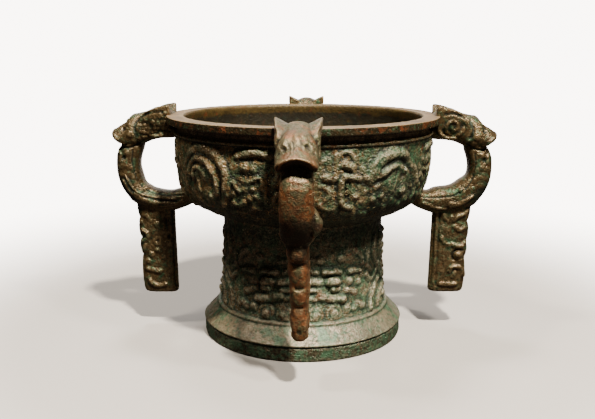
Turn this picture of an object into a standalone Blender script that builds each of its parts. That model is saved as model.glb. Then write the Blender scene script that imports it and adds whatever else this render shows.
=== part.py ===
"""Bronze gui: a footed food vessel with four beast-headed handles, cast in one piece.

The bowl is open above and the foot is hollow and open below. The four handles stand on
the X and Y axes, the front one on -Y. Metres, +Z up, origin in the middle of the
bearing ring that the vessel stands on.
"""
import math

import bmesh
import bpy
from mathutils import Vector

MM = 0.001

# Vessel, in millimetres
ROUND_STEPS = 36
RIM_HEIGHT = 181.0
RIM_RADIUS = 110.0
MOUTH_RADIUS = 96.0
LIP_DEPTH = 5.4
NECK_RADIUS = 102.0
BELLY_RADIUS = 103.6
BELLY_TOP = 166.0
FLOOR_TOP = 103.6
FLOOR_UNDERSIDE = 98.8
WALL = 4.6
STEM_RADIUS = 65.5
STEM_WALL = 4.6
FLANGE_RADIUS = 83.0
FLANGE_HEIGHT = 12.6
BEARING_WIDTH = 5.0
FILLET_RADIUS = 71.0
FILLET_HEIGHT = 26.0

# Handles, in millimetres, as distances out from the vessel's axis
HANDLE_ANGLES = {"front": -90.0, "right": 0.0, "back": 90.0, "left": 180.0}
PENDANT_BOTTOM = {"front": 36.8, "right": 31.8, "back": 31.8, "left": 28.2}
LOOP_HALF_WIDTH = 11.4
HEAD_HALF_WIDTH = 15.2
NOSE_REACH = 156.8
EAR_HEIGHT = 189.0
EAR_SPREAD = 17.2
PENDANT_SWAY = {"front": 1.8, "right": 0.0, "back": 0.0, "left": 0.0}
PENDANT_OUTER = 140.0
PENDANT_INNER = 106.8
PENDANT_LOBES = 4
SPUR_SIZE = (4.5, 6.0, 9.5)

# Raised ornament, in millimetres
RELIEF_HEIGHT = 2.0
RELIEF_ROOT = 1.6
COIL_ANGLE = 45.5
COIL_DEPTH = 28.0
COIL_RADIUS = 21.5
COIL_PITCH = 9.5
COIL_WIDTH = 8.0


def clear_scene():
    """Remove every object, so that the vessel is alone in the file."""
    for item in list(bpy.data.objects):
        bpy.data.objects.remove(item, do_unlink=True)


def bronze():
    """Old cast bronze: dark olive brown, dull, with a little metal showing."""
    material = bpy.data.materials.new("patinated_bronze")
    material.use_nodes = True
    shader = material.node_tree.nodes["Principled BSDF"]
    shader.inputs["Base Color"].default_value = (0.10, 0.085, 0.05, 1.0)
    shader.inputs["Roughness"].default_value = 0.55
    shader.inputs["Metallic"].default_value = 0.6
    return material


def smooth_path(points, steps):
    """Curve through the points, with the given number of steps in each span."""
    path = []
    for index in range(len(points) - 1):
        before = Vector(points[max(index - 1, 0)])
        start = Vector(points[index])
        end = Vector(points[index + 1])
        after = Vector(points[min(index + 2, len(points) - 1)])
        for step in range(steps):
            t = step / steps
            path.append(catmull_rom(before, start, end, after, t))
    path.append(Vector(points[-1]))
    return path


def catmull_rom(before, start, end, after, t):
    """Point at t on the span from start to end."""
    linear = end - before
    square = 2 * before - 5 * start + 4 * end - after
    cube = 3 * start - before - 3 * end + after
    return start + 0.5 * (linear * t + square * t ** 2 + cube * t ** 3)


def rim_outline():
    """Lip and neck, from the flat of the rim down to the top of the belly."""
    lip_foot = RIM_HEIGHT - LIP_DEPTH
    return [
        Vector((RIM_RADIUS - 0.8, RIM_HEIGHT)),
        Vector((RIM_RADIUS, RIM_HEIGHT - 0.8)),
        Vector((RIM_RADIUS, lip_foot + 0.6)),
        Vector((NECK_RADIUS + 0.8, lip_foot - 1.2)),
        Vector((NECK_RADIUS, BELLY_TOP + 4.5)),
        Vector((BELLY_RADIUS + 1.0, BELLY_TOP + 2.4)),
        Vector((BELLY_RADIUS + 1.0, BELLY_TOP + 1.2)),
    ]


def belly_outline():
    """Outside of the bowl: upright, then rounded in to the top of the foot."""
    keys = [
        (BELLY_RADIUS, BELLY_TOP),
        (BELLY_RADIUS - 0.4, 147.0),
        (BELLY_RADIUS - 2.6, 130.5),
        (BELLY_RADIUS - 7.8, 117.6),
        (BELLY_RADIUS - 18.6, 109.2),
        (STEM_RADIUS + 1.0, 101.6),
    ]
    return smooth_path(keys, 2)


def stem_outline():
    """Outside of the foot, from under the bowl down to the fillet."""
    keys = [
        (STEM_RADIUS + 0.2, 90.0),
        (STEM_RADIUS - 0.2, 56.0),
        (FILLET_RADIUS - 1.4, FILLET_HEIGHT + 1.4),
    ]
    return smooth_path(keys, 2)


def flange_outline():
    """Fillet, sloping flange and upright band of the foot."""
    return [
        Vector((FILLET_RADIUS, FILLET_HEIGHT + 0.6)),
        Vector((FILLET_RADIUS, FILLET_HEIGHT - 0.8)),
        Vector((FLANGE_RADIUS, FLANGE_HEIGHT + 0.4)),
        Vector((FLANGE_RADIUS - 0.2, FLANGE_HEIGHT - 0.6)),
        Vector((FLANGE_RADIUS - 0.6, 0.8)),
        Vector((FLANGE_RADIUS - 1.4, 0.0)),
    ]


def foot_hollow_outline():
    """Inside of the foot, from the bearing ring up to the middle of the bowl's underside."""
    inner = STEM_RADIUS - STEM_WALL
    keys = [
        (inner + 4.5, 22.0),
        (inner + 0.8, 38.0),
        (inner - 0.6, 64.0),
        (inner - 1.0, 84.0),
    ]
    bearing = [
        Vector((FLANGE_RADIUS - 1.4 - BEARING_WIDTH, 0.0)),
        Vector((FLANGE_RADIUS - 2.6 - BEARING_WIDTH, 9.0)),
    ]
    ceiling = [Vector((inner - 8.0, FLOOR_UNDERSIDE)), Vector((0.0, FLOOR_UNDERSIDE))]
    return bearing + smooth_path(keys, 1) + ceiling


def bowl_hollow_outline():
    """Inside of the bowl, from the middle of its floor up to the mouth."""
    keys = [
        (57.0, FLOOR_TOP),
        (77.0, 110.2),
        (90.2, 118.6),
        (BELLY_RADIUS - 2.2 - WALL, 131.5),
        (BELLY_RADIUS - 0.2 - WALL, 152.0),
        (NECK_RADIUS - WALL, 169.0),
        (MOUTH_RADIUS, RIM_HEIGHT - 1.2),
    ]
    lip = [Vector((MOUTH_RADIUS + 1.0, RIM_HEIGHT))]
    return [Vector((0.0, FLOOR_TOP))] + smooth_path(keys, 1) + lip


def vessel_outline():
    """Half section of bowl and foot, from the rim down, under, and up inside."""
    outside = rim_outline() + belly_outline() + stem_outline() + flange_outline()
    return outside + foot_hollow_outline(), bowl_hollow_outline()


def add_object(name, mesh, material):
    """Put a mesh in the scene under a name, with the vessel's finish."""
    mesh.materials.append(material)
    item = bpy.data.objects.new(name, mesh)
    bpy.context.scene.collection.objects.link(item)
    return item


def turned_vessel(name, material):
    """Turn the half section round the axis."""
    outside, inside = vessel_outline()
    mesh = bpy.data.meshes.new(name)
    shape = bmesh.new()
    section = [shape.verts.new((r * MM, 0.0, z * MM)) for r, z in inside + outside]
    edges = [shape.edges.new(pair) for pair in zip(section, section[1:])]
    bmesh.ops.spin(
        shape,
        geom=section + edges,
        cent=(0.0, 0.0, 0.0),
        axis=(0.0, 0.0, 1.0),
        angle=math.tau,
        steps=ROUND_STEPS,
        use_merge=True,
    )
    bmesh.ops.remove_doubles(shape, verts=shape.verts, dist=0.01 * MM)
    bmesh.ops.recalc_face_normals(shape, faces=shape.faces)
    shape.to_mesh(mesh)
    shape.free()
    return add_object(name, mesh, material)


def loft(shape, rings):
    """Skin a row of rings of points, in millimetres, and close its two ends."""
    loops = [[shape.verts.new(Vector(point) * MM) for point in ring] for ring in rings]
    count = len(loops[0])
    faces = [shape.faces.new(reversed(loops[0])), shape.faces.new(loops[-1])]
    for lower, upper in zip(loops, loops[1:]):
        for i in range(count):
            j = (i + 1) % count
            faces.append(shape.faces.new((lower[i], lower[j], upper[j], upper[i])))
    bmesh.ops.recalc_face_normals(shape, faces=faces)


def lofted_object(name, material, rows):
    """One object from one or more rows of rings."""
    mesh = bpy.data.meshes.new(name)
    shape = bmesh.new()
    for rings in rows:
        loft(shape, rings)
    shape.to_mesh(mesh)
    shape.free()
    return add_object(name, mesh, material)


def superellipse(steps, power):
    """Unit outline between a round (power 2) and a square (higher powers)."""
    outline = []
    for step in range(steps):
        angle = math.tau * (step + 0.5) / steps
        across = math.copysign(abs(math.cos(angle)) ** (2 / power), math.cos(angle))
        along = math.copysign(abs(math.sin(angle)) ** (2 / power), math.sin(angle))
        outline.append((across, along))
    return outline


def loop_rings():
    """Loop of a handle, from the chin round to the underside of the bowl.

    Each key has a point on the edge of the hole and one on the outer edge, as
    distance out and height.
    """
    keys = [
        (131.6, 152.0, 149.5, 158.0),
        (134.8, 139.0, 154.6, 139.5),
        (130.2, 126.0, 151.2, 121.0),
        (121.4, 120.4, 138.6, 105.6),
        (110.0, 118.8, 113.5, 99.8),
        (102.5, 118.8, 97.5, 103.4),
        (95.0, 121.0, 84.5, 110.6),
    ]
    rings = []
    for inner_r, inner_z, outer_r, outer_z in smooth_path(keys, 2):
        middle = Vector(((inner_r + outer_r) / 2, 0.0, (inner_z + outer_z) / 2))
        half = Vector(((outer_r - inner_r) / 2, 0.0, (outer_z - inner_z) / 2))
        rings.append([
            middle + half * along + Vector((0.0, LOOP_HALF_WIDTH * across, 0.0))
            for across, along in superellipse(10, 2.8)
        ])
    return rings


def head_rings():
    """Head of a handle, from inside the neck of the vessel out to the upturned nose.

    Each key has the distance out, the underside, the top and a share of the width.
    """
    keys = [
        (101.5, 160.5, 174.0, 0.62),
        (108.0, 159.0, 182.0, 0.86),
        (117.0, 158.4, 186.4, 0.95),
        (128.0, 153.6, 182.6, 1.00),
        (139.0, 151.2, 178.4, 0.98),
        (148.0, 152.6, 172.2, 0.96),
        (153.5, 157.0, 168.4, 0.88),
        (NOSE_REACH, 160.4, 165.4, 0.62),
    ]
    rings = []
    for reach, underside, top, share in smooth_path(keys, 2):
        middle = (underside + top) / 2
        half = (top - underside) / 2
        rings.append([
            Vector((reach, HEAD_HALF_WIDTH * share * across, middle + half * along))
            for across, along in superellipse(10, 2.5)
        ])
    return rings


def ear_rings(side):
    """One ear: a broad leaf behind the brow that narrows to a point up and out."""
    keys = [
        (113.0, 9.5, 168.0, 6.0, 6.5),
        (112.0, 11.2, 176.0, 5.2, 5.6),
        (110.5, 13.4, 182.5, 3.6, 3.6),
        (109.0, EAR_SPREAD - 1.0, EAR_HEIGHT, 1.4, 1.0),
    ]
    rings = []
    for reach, spread, height, half_depth, half_width in keys:
        rings.append([
            Vector((reach + half_depth * across, side * (spread + half_width * along), height))
            for across, along in superellipse(6, 2.4)
        ])
    return rings


def pendant_rings(bottom, sway):
    """Pendant below a loop: a thick plate with a lobed outer edge and rounded corners."""
    top = 108.0
    corner = 5.0
    length = top - bottom
    levels = [0.0, 0.35, 1.0]
    heights = [bottom + corner * level for level in levels]
    steps = 2 * PENDANT_LOBES
    heights += [bottom + corner + (length - corner) * step / steps for step in range(1, steps + 1)]
    rings = []
    for height in heights:
        rise = min((height - bottom) / corner, 1.0)
        tuck = corner * (1 - math.sqrt(1 - (1 - rise) ** 2))
        lobe = 1.4 * abs(math.sin(math.pi * PENDANT_LOBES * (height - bottom) / length))
        outer = PENDANT_OUTER - 1.4 + lobe - tuck
        inner = PENDANT_INNER - 1.0 + (height - bottom) / length + 0.8 * tuck
        half = 5.8 + 2.2 * (height - bottom) / length
        rings.append([
            Vector(((outer + inner) / 2 + (outer - inner) / 2 * across, sway + half * along, height))
            for across, along in superellipse(8, 5.0)
        ])
    return rings


def boss(name, material, centre, radii, steps):
    """Small rounded boss, such as an eye or a spur."""
    mesh = bpy.data.meshes.new(name)
    shape = bmesh.new()
    bmesh.ops.create_icosphere(shape, subdivisions=steps, radius=1.0)
    for vert in shape.verts:
        vert.co = Vector([(c + r * x) * MM for c, r, x in zip(centre, radii, vert.co)])
    shape.to_mesh(mesh)
    shape.free()
    return add_object(name, mesh, material)


def hide_operand(item):
    """Mark an object as a shape that only serves a Boolean."""
    item.hide_render = True
    item.display_type = "WIRE"


def unite(target, operand):
    """Join an operand to a target with an exact Boolean union."""
    hide_operand(operand)
    union = target.modifiers.new("join_" + operand.name, "BOOLEAN")
    union.operation = "UNION"
    union.solver = "EXACT"
    union.object = operand


def handle(place, material):
    """One handle: head, two ears, two eyes, loop and pendant, with a spur at the front."""
    name = "handle_" + place
    head = lofted_object(name, material, [head_rings()])
    pendant = pendant_rings(PENDANT_BOTTOM[place], PENDANT_SWAY[place])
    parts = [
        lofted_object(name + "_loop", material, [loop_rings()]),
        lofted_object(name + "_pendant", material, [pendant]),
    ]
    for side in (-1, 1):
        tag = "_left" if side < 0 else "_right"
        parts.append(lofted_object(name + "_ear" + tag, material, [ear_rings(side)]))
        eye = (140.8, side * 8.8, 173.8)
        parts.append(boss(name + "_eye" + tag, material, eye, (3.6, 3.4, 4.2), 1))
    if place == "front":
        spur = (144.6, LOOP_HALF_WIDTH + 0.3, 123.2)
        parts.append(boss(name + "_spur", material, spur, SPUR_SIZE, 2))
    for item in [head] + parts:
        item.rotation_euler.z = math.radians(HANDLE_ANGLES[place])
    for part in parts:
        unite(head, part)
    return head


class Skin:
    """A turned surface, addressed by the angle round it and the distance down it."""

    def __init__(self, outline, radius):
        self.outline = outline
        self.radius = radius

    def at(self, depth):
        """Point and outward normal of the outline, that far down it."""
        left = max(depth, 0.0)
        for start, end in zip(self.outline, self.outline[1:]):
            span = (end - start).length
            if left <= span or end == self.outline[-1]:
                run = (end - start).normalized()
                return start + run * left, Vector((-run.y, run.x)) * -1
            left -= span
        return None

    def point(self, angle, across, depth, lift):
        """Point beside an angle in degrees, raised off the surface by lift."""
        place, normal = self.at(depth)
        place = place + normal * lift
        turn = math.radians(angle) + across / self.radius
        return Vector((place.x * math.cos(turn), place.x * math.sin(turn), place.y))


def ridge_rings(skin, angle, path, widths, mirror):
    """Rounded ridge along a path of (across, down) points on a skin."""
    rings = []
    for index, spot in enumerate(path):
        ahead = path[min(index + 1, len(path) - 1)]
        behind = path[max(index - 1, 0)]
        run = (ahead - behind).normalized()
        side = Vector((-run.y, run.x))
        section = [(-0.5, -RELIEF_ROOT), (-0.3, RELIEF_HEIGHT), (0.3, RELIEF_HEIGHT), (0.5, -RELIEF_ROOT)]
        ring = []
        for offset, lift in section:
            corner = spot + side * offset * widths[index]
            ring.append(skin.point(angle, mirror * corner.x, corner.y, lift))
        rings.append(ring)
    return rings


def coil_rings(skin, angle, mirror):
    """The great coil of a quarter: a tapering band wound inwards from its tail."""
    steps = 20
    turns = 1.45
    path = []
    widths = []
    for step in range(steps + 1):
        share = step / steps
        wind = math.radians(205.0) - math.tau * turns * share
        radius = COIL_RADIUS - COIL_PITCH * max(turns * share - 0.25, 0.0)
        path.append(Vector((radius * math.cos(wind), COIL_DEPTH - radius * math.sin(wind))))
        widths.append(COIL_WIDTH * min(0.45 + 4.0 * share, 1.0))
    return ridge_rings(skin, angle, path, widths, mirror)


def bar_rings(skin, angle, keys, width, mirror):
    """A bar or hook of one width through a few points."""
    path = [Vector(key) for key in keys]
    return ridge_rings(skin, angle, path, [width] * len(path), mirror)


def belly_relief(skin):
    """Coils and beast faces: mirrored about each handle, in all four quarters."""
    brow = [(-5.0, 8.0), (2.0, 6.5), (8.5, 7.5), (9.0, 14.0)]
    snout = [(-5.5, 27.0), (0.0, 26.0), (6.5, 27.5)]
    jaw = [(-4.0, 35.0), (-4.5, 45.0), (-1.0, 52.0), (5.0, 52.5)]
    rows = []
    for handle_angle in HANDLE_ANGLES.values():
        for mirror in (-1, 1):
            if abs(math.cos(math.radians(handle_angle))) < 0.5:
                face = handle_angle + mirror * 19.0
                rows += [bar_rings(skin, face, bar, 4.6, mirror) for bar in (brow, snout, jaw)]
                rows.append(coil_rings(skin, handle_angle + mirror * COIL_ANGLE, mirror))
    return rows


def stem_relief(skin):
    """Bars and coils of the foot: mirrored about each handle."""
    upper_bar = [(-9.0, 27.0), (0.0, 24.5), (9.0, 26.0), (12.5, 32.0)]
    lower_bar = [(-10.0, 47.0), (0.0, 48.5), (10.0, 47.0)]
    lower_coil = [(-4.5, 58.0), (3.0, 54.5), (7.0, 59.0)]
    rows = []
    for handle_angle in HANDLE_ANGLES.values():
        for mirror in (-1, 1):
            face = handle_angle + mirror * 24.0
            for bar in (upper_bar, lower_bar, lower_coil):
                rows.append(bar_rings(skin, face, bar, 4.4, mirror))
    return rows


def build():
    """Make the vessel and join everything cast with it."""
    material = bronze()
    vessel = turned_vessel("gui_vessel", material)
    belly = Skin(belly_outline(), BELLY_RADIUS)
    stem = Skin(stem_outline(), STEM_RADIUS)
    unite(vessel, lofted_object("belly_relief", material, belly_relief(belly)))
    unite(vessel, lofted_object("stem_relief", material, stem_relief(stem)))
    for place in HANDLE_ANGLES:
        unite(vessel, handle(place, material))
    vessel.data.shade_smooth()
    vessel.data.set_sharp_from_angle(angle=math.radians(35.0))


clear_scene()
build()
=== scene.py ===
"""Looks of a bronze gui: bowl, foot and four beast handles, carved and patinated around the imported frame.

Shapes are worked out in millimetres and written to meshes in metres.
"""

import logging
import math
from dataclasses import dataclass, field, replace
from enum import Enum
from typing import Dict, List, Optional, Sequence, Tuple

import bmesh
import bpy
import numpy as np
from mathutils import Matrix, Vector

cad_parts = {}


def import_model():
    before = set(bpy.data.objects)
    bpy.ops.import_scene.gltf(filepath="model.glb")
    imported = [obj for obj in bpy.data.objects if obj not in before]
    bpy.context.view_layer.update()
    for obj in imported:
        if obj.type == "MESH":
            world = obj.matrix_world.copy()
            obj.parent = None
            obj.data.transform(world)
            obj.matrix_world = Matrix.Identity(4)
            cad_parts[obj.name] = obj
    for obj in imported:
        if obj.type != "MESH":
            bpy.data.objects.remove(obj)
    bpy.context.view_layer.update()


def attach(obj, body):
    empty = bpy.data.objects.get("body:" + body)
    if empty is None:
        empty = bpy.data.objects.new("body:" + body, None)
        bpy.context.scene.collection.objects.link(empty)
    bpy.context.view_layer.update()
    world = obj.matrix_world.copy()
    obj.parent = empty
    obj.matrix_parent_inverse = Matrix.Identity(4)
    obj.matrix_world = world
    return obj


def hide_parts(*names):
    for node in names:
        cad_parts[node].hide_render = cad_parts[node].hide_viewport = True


LOG = logging.getLogger("gui_vessel")
MM = 0.001
ROOT_BODY = "root"
VESSEL_NODE = "gui_vessel"
Point2 = Tuple[float, float]
Colour = Tuple[float, float, float]
Shell = Tuple[np.ndarray, List[List[int]]]
Socket = bpy.types.NodeSocket

# The crest value also carries painted light: pieces lower it for painted shade and raise it for painted highlights,
# and the finishes turn it into darker or paler colour.
CREST_AND_PAINTED_LIGHT = "crest"
TINT = "tint"
FACING = "facing"
SPIN = "spin"
SCROLL_SINK = 0.3


# ---- paths


def arc(center: Point2, radius: float, start: float, end: float, steps: int = 12) -> List[Point2]:
    """Points along a circular arc, both ends among them. Angles are in degrees, from +x towards +y."""
    angles = np.radians(np.linspace(start, end, steps + 1))
    return [(center[0] + radius * math.cos(a), center[1] + radius * math.sin(a)) for a in angles]


def whorl(center: Point2, radii: Point2, start: float, sweep: float, steps: int = 40) -> List[Point2]:
    """Points along a spiral that turns clockwise from the left.

    Args:
        center: middle of the spiral.
        radii: first and last radius.
        start: first angle in degrees, counted clockwise from the left.
        sweep: how far it turns, in degrees.
        steps: number of stretches.

    Returns:
        The points of the spiral.
    """
    turn = np.radians(start + np.linspace(0.0, sweep, steps + 1))
    radius = np.linspace(radii[0], radii[1], steps + 1)
    return [(center[0] - r * math.cos(a), center[1] + r * math.sin(a)) for r, a in zip(radius, turn)]


def flowing(points: Sequence[Sequence[float]], spacing: float) -> np.ndarray:
    """A smooth curve through some points, with points at an even spacing.

    Args:
        points: the points that it passes through.
        spacing: distance between the points that it returns.

    Returns:
        An array with one point a row.
    """
    keys = np.asarray(points, dtype=float)
    before = np.vstack([2.0 * keys[0] - keys[1], keys[:-1]])
    after = np.vstack([keys[1:], 2.0 * keys[-1] - keys[-2]])
    share = np.linspace(0.0, 1.0, 16, endpoint=False)[:, None]
    parts = []
    for i in range(len(keys) - 1):
        a, b, c, d = before[i], keys[i], keys[i + 1], after[i + 1]
        curve = 2 * b + (c - a) * share + (2 * a - 5 * b + 4 * c - d) * share ** 2
        parts.append(0.5 * (curve + (3 * b - a - 3 * c + d) * share ** 3))
    dense = np.vstack(parts + [keys[-1:]])
    length = np.concatenate([[0.0], np.cumsum(np.linalg.norm(np.diff(dense, axis=0), axis=1))])
    count = max(2, int(round(length[-1] / spacing)) + 1)
    even = np.linspace(0.0, length[-1], count)
    return np.stack([np.interp(even, length, dense[:, k]) for k in range(dense.shape[1])], axis=1)


def smoothstep(low: float, high: float, value: np.ndarray) -> np.ndarray:
    """0 below low, 1 above high and a soft rise between them."""
    share = np.clip((value - low) / (high - low), 0.0, 1.0)
    return share * share * (3.0 - 2.0 * share)


# ---- noise


def lattice_noise(points: np.ndarray, size: float, seed: int) -> np.ndarray:
    """Smooth random value between -1 and 1 at each point.

    Args:
        points: places in mm, one a row.
        size: distance between the lumps, in mm.
        seed: which of the random fields.

    Returns:
        One value for each point.
    """
    cell = points / size
    base = np.floor(cell).astype(np.int64)
    part = cell - base
    part = part * part * (3.0 - 2.0 * part)
    total = np.zeros(len(points))
    for corner in range(8):
        step = np.array([corner & 1, (corner >> 1) & 1, (corner >> 2) & 1])
        key = (base + step) @ np.array([73856093, 19349663, 83492791]) + seed * 2654435761
        key = ((key ^ (key >> 13)) * 1274126177) & 0x7FFFFFFF
        key = ((key ^ (key >> 16)) * 2246822519) & 0x7FFFFFFF
        weight = np.prod(np.where(step, part, 1.0 - part), axis=1)
        total += weight * ((key & 0xFFFFF) / 524287.5 - 1.0)
    return total


def rough_noise(points: np.ndarray, size: float, octaves: int, seed: int) -> np.ndarray:
    """Several sizes of lattice noise added up, each half as big and half as strong as the one before.

    Args:
        points: places in mm, one a row.
        size: distance between the largest lumps, in mm.
        octaves: how many sizes.
        seed: which of the random fields.

    Returns:
        One value for each point.
    """
    total = np.zeros(len(points))
    strength = 1.0
    for octave in range(octaves):
        total += strength * lattice_noise(points, size / 2 ** octave, seed + 17 * octave)
        strength *= 0.5
    return total / (2.0 - 2.0 * strength)


def wander(points: np.ndarray, amount: float, size: float, seed: int) -> Tuple[np.ndarray, np.ndarray]:
    """How far a hand-cut line strays from its place: two offsets in mm for each point."""
    return amount * rough_noise(points, size, 2, seed), amount * rough_noise(points, size, 2, seed + 91)


def weathering(points: np.ndarray, seed: int, size: float = 8.0) -> np.ndarray:
    """Share of the relief's height that age has left at each point."""
    return np.clip(0.9 + 0.7 * rough_noise(points, size, 2, seed), 0.3, 1.35)


# ---- relief


@dataclass(frozen=True)
class Mark:
    """One line of low relief on a wall: raised where its height is positive, cut in where it is negative."""

    path: Sequence[Sequence[float]]
    width: float
    height: float
    tip: float = 1.0

    def field(self, across: np.ndarray, up: np.ndarray) -> Tuple[np.ndarray, np.ndarray]:
        """Height of this line over a wall.

        Args:
            across: first coordinate of each point of the wall, in mm.
            up: second coordinate.

        Returns:
            The numbers of the points that it reaches, and its height at each.
        """
        line = np.asarray(self.path, dtype=float)
        reach = self.width / 2.0
        low = line.min(axis=0) - reach
        high = line.max(axis=0) + reach
        near = np.flatnonzero((across > low[0]) & (across < high[0]) & (up > low[1]) & (up < high[1]))
        if not len(near):
            return near, np.zeros(0)
        spot = np.stack([across[near], up[near]], axis=1)
        best = np.full(len(near), np.inf)
        along = np.zeros(len(near))
        if len(line) == 1:
            best = np.linalg.norm(spot - line[0], axis=1)
        for i in range(len(line) - 1):
            step = line[i + 1] - line[i]
            share = np.clip((spot - line[i]) @ step / max(step @ step, 1e-9), 0.0, 1.0)
            away = np.linalg.norm(spot - line[i] - share[:, None] * step, axis=1)
            closer = away < best
            best = np.where(closer, away, best)
            along = np.where(closer, (i + share) / (len(line) - 1), along)
        half = reach * (1.0 + (self.tip - 1.0) * along)
        return near, self.height * np.clip(1.0 - (best / half) ** 2, 0.0, 1.0)


def carve(marks: Sequence[Mark], across: np.ndarray, up: np.ndarray) -> np.ndarray:
    """Height of a set of marks over a wall: the highest raised one, less the deepest cut.

    Args:
        marks: the marks.
        across: first coordinate of each point of the wall, in mm.
        up: second coordinate.

    Returns:
        One height in mm for each point.
    """
    raised = np.zeros(len(across))
    cut = np.zeros(len(across))
    for mark in marks:
        near, height = mark.field(across, up)
        if mark.height > 0.0:
            raised[near] = np.maximum(raised[near], height)
        else:
            cut[near] = np.minimum(cut[near], height)
    return raised + cut


def stroke(points: Sequence[Point2], width: float, height: float, tip: float = 1.0) -> Mark:
    """A mark that flows through a few points."""
    return Mark(flowing(points, 1.2), width, height, tip)


def dot(center: Point2, width: float, height: float) -> Mark:
    """A round knob, or a round pit where the height is negative."""
    return Mark([center], width, height)


def mirrored(marks: Sequence[Mark], width: float) -> List[Mark]:
    """The same marks as seen from the other end of a wall of that width."""
    return [replace(m, path=[(width - p[0], p[1]) for p in m.path]) for m in marks]


# ---- surfaces


@dataclass
class Skin:
    """A closed surface as plain arrays: points in mm, faces of four and three sides, and each face's finish."""

    points: np.ndarray
    quads: np.ndarray
    triangles: np.ndarray
    finish: np.ndarray
    values: Dict[str, np.ndarray] = field(default_factory=dict)
    edges: np.ndarray = field(init=False)
    corners: np.ndarray = field(init=False)

    def __post_init__(self) -> None:
        """Works out the edges and the all-triangle form once."""
        loops = [self.quads[:, [0, 1]], self.quads[:, [1, 2]], self.quads[:, [2, 3]], self.quads[:, [3, 0]]]
        loops += [self.triangles[:, [0, 1]], self.triangles[:, [1, 2]], self.triangles[:, [2, 0]]]
        edges = np.sort(np.vstack(loops), axis=1)
        self.edges = np.unique(edges, axis=0)
        halves = [self.quads[:, [0, 1, 2]], self.quads[:, [0, 2, 3]], self.triangles]
        self.corners = np.vstack(halves)

    def normals(self) -> np.ndarray:
        """Outward direction at each point.

        Returns:
            One unit vector a row.
        """
        a, b, c = (self.points[self.corners[:, k]] for k in range(3))
        face = np.cross(b - a, c - a)
        total = np.zeros_like(self.points)
        for k in range(3):
            for axis in range(3):
                total[:, axis] += np.bincount(self.corners[:, k], face[:, axis], len(self.points))
        return total / np.maximum(np.linalg.norm(total, axis=1), 1e-12)[:, None]

    def relaxed(self, rounds: int, strength: float = 0.5) -> np.ndarray:
        """The points after each has moved towards the middle of its neighbours a number of times.

        Args:
            rounds: how many times.
            strength: share of the way that they move each time.

        Returns:
            The new points. The skin keeps its own.
        """
        first, second = self.edges[:, 0], self.edges[:, 1]
        count = np.bincount(self.edges.ravel(), minlength=len(self.points))[:, None]
        moved = self.points.copy()
        for _ in range(rounds):
            total = np.zeros_like(moved)
            for axis in range(3):
                total[:, axis] = np.bincount(first, moved[second, axis], len(moved))
                total[:, axis] += np.bincount(second, moved[first, axis], len(moved))
            moved += strength * (total / count - moved)
        return moved

    def soften(self, share: np.ndarray, rounds: int) -> None:
        """Rounds the relief as wear does, by a share from 0 to 1 at each point."""
        self.points += share[:, None] * (self.relaxed(rounds) - self.points)

    def mark_crests(self, rounds: int = 14, full: float = 0.45) -> None:
        """Keeps how far each point stands above its surroundings, from -1 in a hollow to 1 on a crest."""
        proud = np.einsum("ij,ij->i", self.points - self.relaxed(rounds), self.normals())
        self.values[CREST_AND_PAINTED_LIGHT] = np.clip(proud / full, -1.0, 1.0)

    def raise_wall(self, wall: np.ndarray, height: np.ndarray) -> None:
        """Raises a relief on one wall and rounds it a little.

        Args:
            wall: whether each point is on that wall.
            height: how far each of the wall's points moves out, in mm.
        """
        raised = np.zeros(len(self.points))
        raised[wall] = height
        self.points += self.normals() * raised[:, None]
        self.soften(np.where(wall, 1.0, 0.0), 2)

    def corrode(self, depth: float, size: float, seed: int, share: Optional[np.ndarray] = None) -> None:
        """Roughens the surface with lumps and pits.

        Args:
            depth: how far it moves in or out at most, in mm.
            size: distance between the larger lumps, in mm.
            seed: which of the random fields.
            share: how much of it each point takes, from 0 to 1, where it isn't all.
        """
        before = self.points.copy()
        lumps = rough_noise(self.points, size, 3, seed)
        pits = np.clip(rough_noise(self.points, size * 0.8, 2, seed + 5) - 0.35, 0.0, 1.0)
        self.points += self.normals() * (depth * (lumps - 1.6 * pits))[:, None]
        if share is not None:
            self.points = before + (self.points - before) * share[:, None]

    def as_object(self, name: str, finishes: Sequence[bpy.types.Material]) -> bpy.types.Object:
        """Writes the surface as a smooth mesh object at the origin.

        Args:
            name: the piece's name.
            finishes: the materials that the faces' finish numbers mean.

        Returns:
            The new object, linked to the scene.
        """
        mesh = bpy.data.meshes.new(name)
        faces = self.quads.tolist() + self.triangles.tolist()
        mesh.from_pydata((self.points * MM).tolist(), [], faces)
        for material in finishes:
            mesh.materials.append(material)
        mesh.polygons.foreach_set("material_index", self.finish.astype(np.int32))
        mesh.polygons.foreach_set("use_smooth", np.ones(len(faces), dtype=bool))
        for label, numbers in self.values.items():
            mesh.attributes.new(label, "FLOAT", "POINT").data.foreach_set("value", numbers.astype(np.float32))
        mesh.update()
        piece = bpy.data.objects.new(name, mesh)
        bpy.context.scene.collection.objects.link(piece)
        return piece


@dataclass(frozen=True)
class Stretch:
    """Part of a turned outline, from one sharp corner to the next."""

    keys: Sequence[Point2]
    spacing: float
    columns: int
    finish: int
    carved: bool = False


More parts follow.
